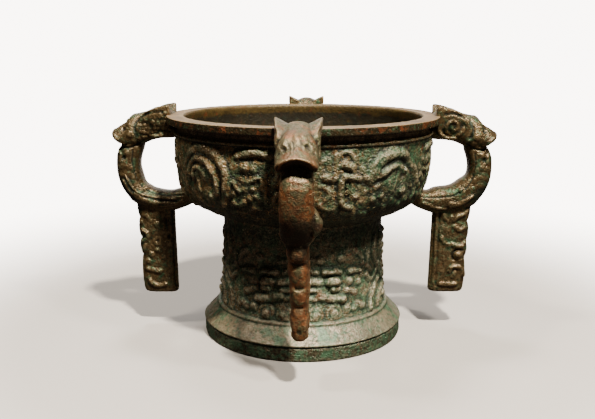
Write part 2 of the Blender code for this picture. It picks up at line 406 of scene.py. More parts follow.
def turned(stretches: Sequence[Stretch], closed: bool) -> Tuple[Skin, np.ndarray, np.ndarray]:
    """Turns an outline round the vertical axis.

    Args:
        stretches: the outline, outside upwards first, so that its faces point outwards.
        closed: whether the last point joins the first; otherwise both ends are on the axis.

    Returns:
        The skin, the outline's running length at each point in mm, and whether each point is on a carved wall.
    """
    rows = []
    for number, stretch in enumerate(stretches):
        line = flowing(stretch.keys, stretch.spacing)
        last = number == len(stretches) - 1 and not closed
        rows += [(p, stretch) for p in (line if last else line[:-1])]
    outline = np.array([p for p, _ in rows])
    length = np.concatenate([[0.0], np.cumsum(np.linalg.norm(np.diff(outline, axis=0), axis=1))])
    points, starts, counts, runs, walls = [], [], [], [], []
    for (place, stretch), run in zip(rows, length):
        count = 1 if place[0] < 1e-6 else stretch.columns
        angle = np.arange(count) * 2.0 * math.pi / count
        starts.append(sum(counts))
        counts.append(count)
        ring = np.stack([place[0] * np.cos(angle), place[0] * np.sin(angle), np.full(count, place[1])], axis=1)
        points.append(ring)
        runs.append(np.full(count, run))
        walls.append(np.full(count, stretch.carved))
    quads, triangles, quad_finish, triangle_finish = [], [], [], []
    pairs = [(i, i + 1) for i in range(len(rows) - 1)]
    if closed:
        pairs.append((len(rows) - 1, 0))
    for low, high in pairs:
        band_quads, band_triangles = ring_faces(starts[low], counts[low], starts[high], counts[high])
        quads.append(band_quads)
        triangles.append(band_triangles)
        quad_finish.append(np.full(len(band_quads), rows[low][1].finish))
        triangle_finish.append(np.full(len(band_triangles), rows[low][1].finish))
    skin = Skin(np.vstack(points), np.vstack(quads), np.vstack(triangles),
                np.concatenate(quad_finish + triangle_finish))
    return skin, np.concatenate(runs), np.concatenate(walls)


def ring_faces(low: int, low_count: int, high: int, high_count: int) -> Tuple[np.ndarray, np.ndarray]:
    """Faces between two rings of points, of which one may have half as many points, or only one.

    Args:
        low: number of the first ring's first point.
        low_count: points in the first ring.
        high: number of the second ring's first point.
        high_count: points in the second ring.

    Returns:
        The four-sided faces and the three-sided ones.
    """
    none = (np.zeros((0, 4), dtype=np.int64), np.zeros((0, 3), dtype=np.int64))
    i = np.arange(max(low_count, high_count))
    if low_count == high_count:
        after = (i + 1) % low_count
        return np.stack([low + i, low + after, high + after, high + i], axis=1), none[1]
    if high_count == 1:
        return none[0], np.stack([low + i, low + (i + 1) % low_count, np.full(len(i), high)], axis=1)
    if low_count == 1:
        return none[0], np.stack([np.full(len(i), low), high + (i + 1) % high_count, high + i], axis=1)
    k = np.arange(min(low_count, high_count))
    fine, coarse = (low, high) if low_count > high_count else (high, low)
    count = len(k)
    a, b, c = fine + 2 * k, fine + 2 * k + 1, fine + (2 * k + 2) % (2 * count)
    d, e = coarse + k, coarse + (k + 1) % count
    fans = np.vstack([np.stack([a, b, d], axis=1), np.stack([b, e, d], axis=1), np.stack([b, c, e], axis=1)])
    return none[0], (fans if low_count > high_count else fans[:, ::-1])


# ---- body


class CoilStyle(Enum):
    """How the inside of a coiled serpent on the belly is worked."""

    KNOBBED = "one broad band with round knobs inside"
    NESTED = "several bands, one inside the other"


@dataclass(frozen=True)
class BellyCarving:
    """Low relief of one quarter of the belly, from one handle to the next, in mm round the wall and up it."""

    width: float = 163.4
    coil_height: float = 136.5
    coil_radius: float = 27.0
    coil_rise: float = 2.3

    def coil(self, style: CoilStyle) -> List[Mark]:
        """The coiled serpent in the middle of the quarter.

        Args:
            style: how its inside is worked.

        Returns:
            Its marks.
        """
        disc = dot((self.width / 2.0, self.coil_height), 2.0 * self.coil_radius, self.coil_rise)
        if style is CoilStyle.KNOBBED:
            return [
                disc,
                stroke([(52.5, 144.5), (56.6, 151.4), (62.8, 157.0), (71.8, 159.8), (81.0, 158.4), (90.4, 153.4),
                        (98.0, 145.0), (102.0, 135.0), (100.0, 124.0)], 13.0, 3.6, tip=0.6),
                stroke([(56.5, 144.0), (62.8, 146.4), (68.0, 149.6), (74.4, 151.4), (81.0, 149.4)], 8.0, 3.9,
                       tip=0.6),
                dot((84.8, 147.2), 6.2, 4.4), dot((83.6, 133.1), 12.0, 4.8), dot((92.0, 140.4), 6.0, 3.4),
                stroke([(58.6, 137.6), (64.8, 140.0)], 6.5, 2.4), dot((70.0, 137.6), 5.6, 2.6),
                dot((56.6, 128.0), 6.6, 2.4), dot((63.6, 130.0), 7.0, 2.7), dot((73.0, 126.6), 6.6, 2.6),
                stroke([(73.0, 133.0), (76.4, 140.6)], 5.5, 3.0), dot((69.0, 120.4), 8.0, 2.6),
                dot((83.0, 121.0), 9.0, 2.8), dot((92.6, 124.0), 7.0, 2.8), dot((96.0, 134.0), 6.0, 2.8),
                stroke([(57.6, 141.6), (60.6, 148.6), (65.0, 152.4), (72.0, 155.2), (78.4, 155.4), (85.0, 152.8),
                        (90.4, 147.4), (93.4, 140.0)], 2.8, -1.2),
                stroke([(54.0, 148.6), (58.4, 154.8), (64.4, 159.4), (72.0, 162.0), (80.0, 161.2), (88.0, 157.8)],
                       1.2, -0.5),
                stroke([(56.0, 147.6), (60.2, 153.2), (65.6, 157.2), (72.4, 159.4), (80.0, 158.4), (86.4, 155.4)],
                       1.2, -0.5),
                stroke([(58.0, 146.8), (62.0, 151.8), (66.8, 155.0), (73.0, 156.9), (79.0, 156.4)], 1.2, -0.4),
                dot((82.6, 142.4), 5.0, -1.3), dot((94.2, 130.7), 6.0, -1.6), dot((75.6, 145.4), 4.5, -1.0),
                stroke([(76.6, 127.4), (83.0, 126.0), (89.6, 128.4)], 2.6, -1.0),
            ]
        return [
            disc,
            stroke([(57.4, 133.0), (60.5, 147.0), (68.0, 156.0), (79.0, 161.0), (90.0, 161.4), (98.5, 158.0),
                    (104.0, 151.6), (106.6, 143.0), (105.2, 133.0), (100.0, 122.0)], 11.0, 3.4, tip=0.75),
            stroke([(64.0, 137.0), (67.0, 147.4), (74.0, 153.6), (82.2, 155.0), (89.8, 151.2), (95.4, 144.8),
                    (97.0, 137.0), (95.4, 130.0)], 7.4, 3.8),
            stroke([(69.0, 136.0), (71.0, 144.0), (76.6, 147.6), (82.6, 145.4), (86.8, 139.4)], 5.4, 3.8),
            stroke([(77.2, 137.4), (78.6, 130.6)], 6.4, 4.4), dot((91.8, 127.8), 8.6, 4.2),
            dot((85.0, 131.6), 5.6, 2.8), dot((68.0, 128.4), 8.0, 3.4), dot((85.6, 123.4), 6.6, 3.0),
            stroke([(72.0, 123.6), (81.8, 118.8)], 6.2, 3.2),
            stroke([(61.6, 136.0), (64.4, 148.0), (71.4, 155.4), (81.0, 158.6), (91.6, 156.2), (98.6, 149.6),
                    (101.4, 141.0), (99.6, 130.0)], 2.0, -0.6),
            stroke([(66.4, 136.0), (69.4, 146.4), (76.6, 151.2), (84.0, 150.0), (90.2, 143.8), (91.8, 135.4)],
                   2.0, -0.8),
            stroke([(59.4, 148.6), (67.4, 158.4), (79.4, 163.4), (91.0, 163.6), (100.6, 159.6)], 1.2, -0.5),
            stroke([(60.6, 143.8), (66.8, 153.8), (78.0, 159.0), (90.0, 159.2)], 1.2, -0.4),
            dot((84.6, 136.4), 4.4, -1.4), dot((73.4, 139.4), 3.6, -1.2),
        ]

    def right_of_handle(self) -> List[Mark]:
        """Half of a beast's face: brow over a round eye, cheek bar and a long hooked jaw.

        Returns:
            Its marks.
        """
        return [
            dot((34.6, 159.0), 20.0, 0.8), stroke([(32.4, 154.6), (35.0, 153.8), (38.4, 151.8)], 7.6, 2.7),
            stroke([(27.8, 157.4), (29.2, 161.8), (33.0, 163.8), (37.2, 162.2), (39.8, 158.0)], 3.2, 1.7),
            stroke([(32.4, 145.7), (38.0, 145.2), (43.6, 144.0)], 5.8, 2.6),
            stroke([(18.4, 146.0), (25.0, 145.4)], 7.2, 2.6),
            stroke([(26.4, 162.0), (26.2, 155.5), (26.8, 148.4)], 4.2, 1.5),
            stroke([(30.4, 143.2), (30.6, 137.0), (30.6, 130.5), (32.0, 125.8), (36.4, 122.9), (40.8, 121.4),
                    (42.8, 116.2), (45.4, 110.6)], 5.4, 2.3),
            dot((41.4, 131.4), 6.4, 2.4), dot((43.6, 138.0), 4.6, 1.2),
            stroke([(33.4, 118.6), (38.4, 117.8)], 5.4, 2.0), stroke([(47.0, 117.2), (52.6, 115.2)], 5.4, 1.6),
            stroke([(16.5, 157.0), (20.5, 158.4), (21.4, 153.6)], 4.4, 1.2),
            stroke([(15.5, 139.4), (19.5, 138.0), (22.5, 133.4), (20.0, 129.6)], 4.6, 1.4),
            stroke([(15.5, 124.6), (19.5, 121.6), (25.0, 121.5)], 4.4, 1.4),
            stroke([(46.4, 151.4), (48.6, 146.6)], 6.0, 1.5),
            dot((49.6, 134.6), 6.0, 1.4), dot((46.6, 126.4), 4.6, 1.3),
            stroke([(29.2, 155.8), (30.0, 159.2), (32.6, 160.7), (35.4, 159.6), (37.6, 156.6)], 3.0, -1.9),
            stroke([(31.0, 150.2), (37.0, 148.9)], 3.2, -1.4),
            stroke([(35.3, 141.6), (35.2, 135.2), (35.8, 126.6)], 5.2, -1.9),
            stroke([(26.4, 143.4), (26.6, 134.0), (27.6, 126.0)], 3.0, -0.9),
        ]

    def left_of_handle(self) -> List[Mark]:
        """The other half of the face, worked a little differently, its distances counted from the handle.

        Returns:
            Its marks.
        """
        return [
            stroke([(45.4, 159.6), (36.4, 161.8), (28.8, 162.6), (22.4, 160.9)], 8.0, 2.8),
            dot((40.6, 151.6), 10.0, 2.2), dot((34.6, 151.0), 8.0, 2.0),
            stroke([(46.0, 144.4), (41.0, 141.2), (35.4, 141.6), (31.0, 145.0)], 3.4, 1.9),
            stroke([(29.6, 145.6), (27.0, 142.0), (27.4, 136.0)], 3.8, 1.7),
            dot((41.4, 135.6), 6.0, 1.8), dot((35.0, 136.4), 6.4, 2.0), dot((38.0, 129.6), 5.6, 1.7),
            stroke([(33.6, 131.0), (28.6, 128.8)], 4.2, 1.6), stroke([(36.6, 120.8), (30.8, 121.4)], 4.2, 2.0),
            stroke([(52.6, 124.8), (48.0, 122.8), (43.0, 126.6)], 5.0, 1.9),
            stroke([(54.0, 138.6), (50.6, 140.4), (48.4, 136.2), (45.8, 134.0)], 4.2, 1.8),
            dot((51.6, 131.4), 7.0, 1.5), dot((50.0, 152.0), 8.0, 1.3), dot((55.0, 146.4), 5.0, 1.3),
            stroke([(25.2, 156.0), (25.2, 140.0), (26.2, 126.4)], 3.2, 1.2),
            stroke([(17.5, 158.0), (16.5, 149.0), (18.5, 141.0)], 4.0, 1.2),
            stroke([(17.0, 134.0), (20.0, 128.0), (17.0, 122.0)], 4.0, 1.2),
            stroke([(45.0, 115.5), (52.0, 117.0), (58.0, 114.0)], 4.0, 1.4),
            stroke([(43.6, 156.8), (36.0, 157.6), (27.6, 158.0)], 3.0, -1.4),
            stroke([(47.0, 147.2), (41.4, 144.4), (35.6, 145.0)], 3.2, -1.2),
        ]

    def quarter(self, style: CoilStyle) -> List[Mark]:
        """Everything from one handle to the next: half a face, the coil, and the other half face."""
        return self.right_of_handle() + self.coil(style) + mirrored(self.left_of_handle(), self.width)


@dataclass(frozen=True)
class FootCarving:
    """Low relief of half of one side of the foot, in mm round the wall from its middle, and up it."""

    width: float = 105.2

    def half(self) -> List[Mark]:
        """Bars, coils and ovals of a broken-up mask, with long plumes beside it.

        Returns:
            Its marks.
        """
        marks = [
            stroke([(7.6, 75.6), (16.6, 73.8)], 5.4, 2.2), dot((33.2, 75.0), 8.0, 2.2),
            stroke([(19.0, 65.6), (25.0, 65.8), (31.6, 64.2)], 6.6, 3.2, tip=0.8),
            stroke([(40.4, 64.0), (45.2, 64.2), (51.4, 63.0)], 6.6, 3.0, tip=0.6),
            stroke([(23.4, 57.7), (29.0, 56.8)], 8.8, 3.6), stroke([(25.4, 51.5), (30.4, 51.0)], 5.6, 3.2),
            stroke([(8.0, 66.6), (12.6, 65.4)], 5.0, 2.0), stroke([(7.6, 58.3), (15.6, 57.2)], 6.8, 2.8),
            stroke([(7.6, 51.6), (14.4, 51.2)], 5.4, 2.4),
            stroke([(15.2, 46.8), (24.0, 44.2), (34.4, 42.8)], 7.6, 3.0),
            stroke([(6.8, 45.4), (11.4, 44.6)], 5.0, 2.2),
            dot((26.0, 33.4), 14.6, 3.1), dot((11.8, 32.6), 13.0, 2.9), dot((37.6, 35.0), 8.4, 2.3),
            stroke([(44.0, 34.6), (48.4, 37.0), (53.0, 34.8)], 7.0, 2.4), dot((40.4, 56.4), 9.0, 1.9),
            stroke([(38.4, 49.6), (46.4, 46.4)], 6.6, 2.0), dot((50.4, 54.0), 7.4, 1.8),
            stroke([(46.0, 80.0), (53.0, 75.0), (55.0, 68.4)], 6.0, 1.5),
            stroke([(80.0, 51.0), (70.0, 45.6), (65.2, 41.2), (62.4, 35.0), (61.6, 28.6)], 5.6, 2.5),
            stroke([(92.0, 43.0), (80.4, 38.8), (75.8, 34.2), (73.4, 29.0)], 6.0, 2.5),
            stroke([(60.6, 58.0), (66.0, 52.6), (74.0, 56.0), (82.4, 62.6)], 5.6, 2.0),
            stroke([(71.6, 86.0), (70.0, 74.6), (76.4, 64.0), (85.4, 55.0)], 5.8, 2.1),
            stroke([(61.6, 76.0), (60.0, 67.0), (66.4, 61.0)], 5.4, 1.7),
            stroke([(84.4, 86.0), (83.0, 76.0), (89.0, 66.0)], 5.8, 2.1),
            stroke([(20.4, 58.6), (22.4, 61.6), (26.5, 62.3), (31.0, 61.0), (33.4, 58.0)], 2.6, -1.3),
            stroke([(20.6, 54.4), (22.6, 50.0), (27.8, 47.7), (32.8, 49.8), (34.0, 54.0)], 2.8, -1.5),
            Mark(arc((26.0, 32.4), 4.4, -30.0, 210.0), 2.2, -1.3),
            Mark(arc((11.8, 32.2), 3.8, -60.0, 200.0), 2.0, -1.1),
        ]
        for rung in range(7):
            marks.append(stroke([(91.0, 34.0 + 8.0 * rung), (95.0, 36.0 + 8.0 * rung)], 7.0, 3.2))
            marks.append(dot((101.4, 38.0 + 8.0 * rung), 7.0, 2.8))
        return marks


@dataclass(frozen=True)
class ScrollSeats:
    """Where the small squared scrolls of the ground sit: places in mm, outward directions and turns."""

    places: np.ndarray
    facings: np.ndarray
    turns: np.ndarray


def on_wall(radius: float, angle: np.ndarray, up: np.ndarray) -> np.ndarray:
    """Places on an upright round wall, one a row: direction in radians, and height in mm."""
    return np.column_stack([radius * np.cos(angle), radius * np.sin(angle), up])


def strewn(rng: np.random.Generator, radius: float, heights: Point2, spacing: float,
           stray: Point2) -> Tuple[np.ndarray, np.ndarray]:
    """An even net of places round a wall, each moved a little from its own.

    Args:
        rng: where the random numbers come from.
        radius: the wall's radius in mm.
        heights: lowest and highest row, in mm.
        spacing: distance between neighbours, in mm.
        stray: how far a place may move, in degrees round the wall and in mm up it.

    Returns:
        The direction of each place in degrees, and its height in mm.
    """
    turn, up = np.meshgrid(np.arange(0.0, 360.0, math.degrees(spacing / radius)), np.arange(*heights, spacing))
    return (turn.ravel() + rng.uniform(-stray[0], stray[0], turn.size),
            up.ravel() + rng.uniform(-stray[1], stray[1], up.size))


@dataclass
class Bowl:
    """The bowl: turned belly with its carved quarters, ridge, recessed neck, flat lip and plain inside."""

    ON_BELLY, ON_NECK, ON_RIM, INSIDE_BOWL, ON_LIP = range(5)

    first_handle: float = -90.0
    belly_top: float = 166.0
    carving_top: float = 165.0
    wall_radius: float = 103.0
    rim_height: float = 181.0
    rim_radius: float = 110.0
    mouth_radius: float = 96.0
    columns: int = 760
    nested_share: float = 0.8
    relief_share: float = 0.85
    plain_share: float = 0.45
    bare_below: float = 0.7
    handle_room: float = 13.0
    carving: BellyCarving = BellyCarving()

    def wall(self) -> List[Point2]:
        """The belly's own outline, from the underside up to the ridge."""
        return [(64.0, 99.4), (70.0, 102.8), (77.0, 105.4), (85.0, 109.2), (91.5, 113.2), (95.8, 117.6),
                (98.9, 123.4), (101.0, 130.5), (103.2, 147.0), (103.6, self.belly_top)]

    def outline(self) -> List[Stretch]:
        """The turned outline from the middle of the underside, round the outside and back inside.

        Returns:
            Its stretches in order.
        """
        half, quarter = self.columns // 2, self.columns // 4
        rim, top, mouth = self.rim_radius, self.rim_height, self.mouth_radius
        return [
            Stretch([(0.0, 98.8), (20.0, 98.8)], 20.0, quarter // 2, self.ON_BELLY),
            Stretch([(20.0, 98.8), (50.0, 98.8)], 6.0, quarter, self.ON_BELLY),
            Stretch([(50.0, 98.8), (64.0, 99.4)], 3.0, half, self.ON_BELLY),
            Stretch(self.wall(), 0.94, self.columns, self.ON_BELLY, carved=True),
            Stretch([(103.6, self.belly_top), (104.2, 166.8), (105.0, 167.5), (104.8, 168.5), (103.2, 169.2)],
                    0.6, half, self.ON_BELLY),
            Stretch([(103.2, 169.2), (102.0, 170.4), (102.0, 174.0), (103.2, 175.2)], 0.8, half, self.ON_NECK),
            Stretch([(103.2, 175.2), (rim - 0.8, 175.4)], 1.2, half, self.ON_NECK),
            Stretch([(rim - 0.8, 175.4), (rim, 176.0), (rim, top - 0.3)], 0.6, half, self.ON_LIP),
            Stretch([(rim, top - 0.3), (rim - 0.3, top)], 0.5, half, self.ON_RIM),
            Stretch([(rim - 0.3, top), (103.0, top - 0.1), (mouth + 0.9, top)], 1.5, half, self.ON_RIM),
            Stretch([(mouth + 0.9, top), (mouth, top - 0.8), (96.6, 177.0), (98.2, 168.0), (98.9, 152.0),
                     (96.9, 131.0), (91.2, 119.0), (78.0, 110.6), (58.0, 104.2)], 2.2, quarter, self.INSIDE_BOWL),
            Stretch([(58.0, 104.2), (24.0, 103.6)], 5.0, quarter // 2, self.INSIDE_BOWL),
            Stretch([(24.0, 103.6), (0.0, 103.6)], 8.0, quarter // 4, self.INSIDE_BOWL),
        ]

    def quarters(self, angle: np.ndarray) -> Tuple[np.ndarray, np.ndarray]:
        """Which quarter each direction falls in, and how far round the wall it is from its handle.

        Args:
            angle: directions from the axis, in radians.

        Returns:
            The number of the quarter, and the distance in mm.
        """
        turn = np.mod(np.degrees(angle) - self.first_handle, 360.0)
        number = np.minimum((turn // 90.0).astype(int), 3)
        return number, np.radians(turn - 90.0 * number) * self.wall_radius

    def relief(self, angle: np.ndarray, up: np.ndarray) -> np.ndarray:
        """Height of the carving over the belly.

        Args:
            angle: directions from the axis, in radians.
            up: places up the wall, in mm.

        Returns:
            The heights in mm.
        """
        wall = on_wall(self.wall_radius, angle, up)
        sideways, upwards = wander(wall, 0.8, 8.0, 71)
        number, across = self.quarters(angle)
        height = np.zeros(len(angle))
        for quarter in range(4):
            style = CoilStyle.KNOBBED if quarter % 2 == 0 else CoilStyle.NESTED
            inside = number == quarter
            share = 1.0 if style is CoilStyle.KNOBBED else self.nested_share
            marks = self.carving.quarter(style)
            height[inside] = share * carve(marks, (across + sideways)[inside], (up + upwards)[inside])
        return self.relief_share * height * weathering(wall, 75)

    def build(self) -> Skin:
        """Turns the bowl and raises its carving.

        Returns:
            The skin, with its values.
        """
        skin, run, belly = turned(self.outline(), closed=False)
        up = self.carving_top - (run[belly].max() - run[belly])
        angle = np.arctan2(skin.points[belly, 1], skin.points[belly, 0])
        skin.raise_wall(belly, self.relief(angle, up))
        skin.corrode(0.5, 3.6, 11, np.where(belly, 1.0, self.plain_share))
        skin.mark_crests()
        x, _, z = skin.points.T
        # Painted shade: darker under the belly, where it turns down.
        underside = 0.9 * smoothstep(128.0, 111.0, z)
        # Paler golden wear on the left coil, with painted light where the lamps leave it dim.
        left_wear_and_painted_light = 0.18 * smoothstep(-52.0, -70.0, x)
        # Painted shadow of the front handle on the belly to its left.
        painted_handle_shadow = 0.2 * smoothstep(-52.0, -40.0, x) * smoothstep(0.0, -20.0, x)
        # Darker patina with painted shade on the lower half of the right coil.
        lower_right_patina_and_shade = 0.35 * smoothstep(143.0, 133.0, z) * smoothstep(40.0, 62.0, x)
        crest_shift_with_painted_light = np.where(belly, left_wear_and_painted_light - painted_handle_shadow - lower_right_patina_and_shade - underside, 0.0)
        skin.values[CREST_AND_PAINTED_LIGHT] = np.clip(skin.values[CREST_AND_PAINTED_LIGHT] + crest_shift_with_painted_light, -1.0, 1.0)
        side = x / 90.0 + 0.5 * lattice_noise(skin.points, 42.0, 3)
        skin.values[TINT] = np.where(belly, smoothstep(-0.3, 0.5, side), 0.0)
        return skin

    def seats(self, spacing: float = 5.0) -> ScrollSeats:
        """Places for ground scrolls on the bare parts of the belly.

        Args:
            spacing: distance between neighbours, in mm.

        Returns:
            The seats, a little irregular, as if each was cut by hand.
        """
        rng = np.random.default_rng(5)
        heights = (self.carving_top - 57.0, self.carving_top - 2.0)
        turn, up = strewn(rng, self.wall_radius, heights, spacing, (0.4, 0.6))
        bare = self.relief(np.radians(turn), up) < self.bare_below
        _, across = self.quarters(np.radians(turn))
        clear = (across > self.handle_room) & (across < self.carving.width - self.handle_room)
        keep = bare & clear
        line = flowing(self.wall(), 0.5)
        run = np.concatenate([[0.0], np.cumsum(np.linalg.norm(np.diff(line, axis=0), axis=1))])
        spot = up[keep] - self.carving_top + run[-1]
        ahead = np.gradient(line, run, axis=0)
        radius, height, out_way, up_way = (np.interp(spot, run, v) for v in (*line.T, *ahead.T))
        angle = np.radians(turn[keep])
        out = np.stack([np.cos(angle), np.sin(angle)], axis=1)
        facings = np.column_stack([out * up_way[:, None], -out_way])
        places = np.column_stack([out * radius[:, None], height]) - SCROLL_SINK * facings
        return ScrollSeats(places, facings, rng.integers(0, 4, len(places)) * math.pi / 2.0)


@dataclass
class Foot:
    """The hollow foot: carved stem, sloping flange and an upright band round the bottom."""

    ON_STEM, ON_FLANGE, INSIDE_FOOT, ON_BAND = range(4)

    wall_radius: float = 66.0
    columns: int = 560
    bare_below: float = 0.6
    scroll_heights: Point2 = (33.0, 92.0)
    carving: FootCarving = FootCarving()

    def wall(self) -> List[Point2]:
        """The stem's own outline, from the flange up to the belly."""
        return [(69.2, 27.6), (66.9, 38.0), (65.1, 62.0), (65.5, 90.0), (66.0, 101.6)]

    def outline(self) -> List[Stretch]:
        """The turned outline, a closed ring from the bearing edge up the outside and down the inside.

        Returns:
            Its stretches in order.
        """
        half = self.columns // 2
        return [
            Stretch([(77.0, 0.0), (81.6, 0.0)], 1.4, self.columns, self.ON_BAND),
            Stretch([(81.6, 0.0), (82.4, 0.8), (82.5, 5.0), (82.4, 10.4)], 0.9, self.columns, self.ON_BAND),
            Stretch([(82.4, 10.4), (81.5, 11.2), (81.7, 12.0), (82.9, 12.4)], 0.5, self.columns, self.ON_BAND),
            Stretch([(82.9, 12.4), (83.0, 13.1), (77.2, 19.0), (72.0, 24.6)], 0.9, self.columns, self.ON_FLANGE),
            Stretch([(72.0, 24.6), (71.9, 25.9), (70.6, 26.9), (69.2, 27.6)], 0.5, self.columns, self.ON_FLANGE),
            Stretch(self.wall(), 0.82, self.columns, self.ON_STEM, carved=True),
            Stretch([(66.0, 101.6), (54.0, 101.6)], 2.2, half, self.ON_STEM),
            Stretch([(54.0, 101.6), (54.0, 98.8), (60.0, 84.0), (60.4, 64.0), (61.8, 38.0), (65.9, 22.0),
                     (75.4, 9.0), (76.6, 1.0), (77.0, 0.0)], 2.4, half, self.INSIDE_FOOT),
        ]

    def relief(self, angle: np.ndarray, up: np.ndarray) -> np.ndarray:
        """Height of the carving over the stem: a mask on the front and on the back, each the same both ways.

        Args:
            angle: directions from the axis, in radians.
            up: places up the wall, in mm.

        Returns:
            The heights in mm.
        """
        wall = on_wall(self.wall_radius, angle, up)
        sideways, upwards = wander(wall, 0.7, 7.0, 81)
        turn = np.mod(np.degrees(angle) + 90.0, 180.0)
        across = np.radians(np.minimum(turn, 180.0 - turn)) * self.wall_radius
        return carve(self.carving.half(), across + sideways, up + upwards) * weathering(wall, 85)

    def build(self) -> Skin:
        """Turns the foot and raises its carving.

        Returns:
            The skin, with its values.
        """
        skin, _, stem = turned(self.outline(), closed=True)
        angle = np.arctan2(skin.points[stem, 1], skin.points[stem, 0])
        skin.raise_wall(stem, self.relief(angle, skin.points[stem, 2]))
        above_edge = smoothstep(0.0, 1.2, skin.points[:, 2])
        skin.corrode(0.42, 3.4, 23, above_edge)
        skin.mark_crests()
        # Painted shadow of the belly over the top of the stem.
        painted_belly_shadow = np.where(stem, 0.45 * smoothstep(80.0, 94.0, skin.points[:, 2]), 0.0)
        skin.values[CREST_AND_PAINTED_LIGHT] = np.clip(skin.values[CREST_AND_PAINTED_LIGHT] - painted_belly_shadow, -1.0, 1.0)
        side = skin.points[:, 0] / 80.0 + 0.6 * lattice_noise(skin.points, 30.0, 8)
        skin.values[TINT] = smoothstep(-0.1, 0.8, side)
        return skin

    def seats(self, spacing: float = 4.9) -> ScrollSeats:
        """Places for ground scrolls on the bare parts of the stem.

        Args:
            spacing: distance between neighbours, in mm.

        Returns:
            The seats.
        """
        rng = np.random.default_rng(9)
        turn, up = strewn(rng, self.wall_radius, self.scroll_heights, spacing, (0.5, 0.5))
        keep = self.relief(np.radians(turn), up) < self.bare_below
        line = flowing(self.wall(), 0.5)
        radius = np.interp(up[keep], line[:, 1], line[:, 0])
        angle = np.radians(turn[keep])
        out = np.stack([np.cos(angle), np.sin(angle)], axis=1)
        facings = np.column_stack([out, np.zeros(len(out))])
        places = np.column_stack([out * radius[:, None], up[keep]]) - SCROLL_SINK * facings
        return ScrollSeats(places, facings, rng.integers(0, 4, len(places)) * math.pi / 2.0)


# ---- handles


class Side(Enum):
    """The four handles, named as one stands in front of the vessel. The value is each one's direction."""

    FRONT = -90.0
    RIGHT = 0.0
    BACK = 90.0
    LEFT = 180.0


class Swirl(Enum):
    """What fills the round horn behind a beast's cheek."""

    SPIRAL = "a coiled ridge"
    BEADS = "rows of beads inside a ring"


class Curls(Enum):
    """How both sides of a pendant are worked."""

    HOOKED = "hooked curls with a ball between them"
    KNOBBED = "knobs, a ring and short curls"


def tube(rings: Sequence[np.ndarray]) -> Shell:
    """A closed shell through some rings of points.

    Args:
        rings: rings with as many points each, in order.

    Returns:
        The points and the faces.
    """
    count = len(rings[0])
    points = np.vstack(list(rings) + [rings[0].mean(axis=0)[None], rings[-1].mean(axis=0)[None]])
    faces = []
    for k in range(len(rings) - 1):
        for i in range(count):
            j = (i + 1) % count
            faces.append([k * count + i, k * count + j, (k + 1) * count + j, (k + 1) * count + i])
    first, last = len(points) - 2, len(points) - 1
    top = (len(rings) - 1) * count
    for i in range(count):
        j = (i + 1) % count
        faces.append([j, i, first])
        faces.append([top + i, top + j, last])
    return points, faces


def rounded(count: int, power: float) -> np.ndarray:
    """Points of a rounded rectangle that is 2 by 2, as a superellipse of that power.

    Args:
        count: how many points.
        power: 2 for an ellipse, more for squarer corners.

    Returns:
        The points, one a row.
    """
    turn = np.arange(count) * 2.0 * math.pi / count
    wave = np.stack([np.cos(turn), np.sin(turn)], axis=1)
    return np.sign(wave) * np.abs(wave) ** (2.0 / power)


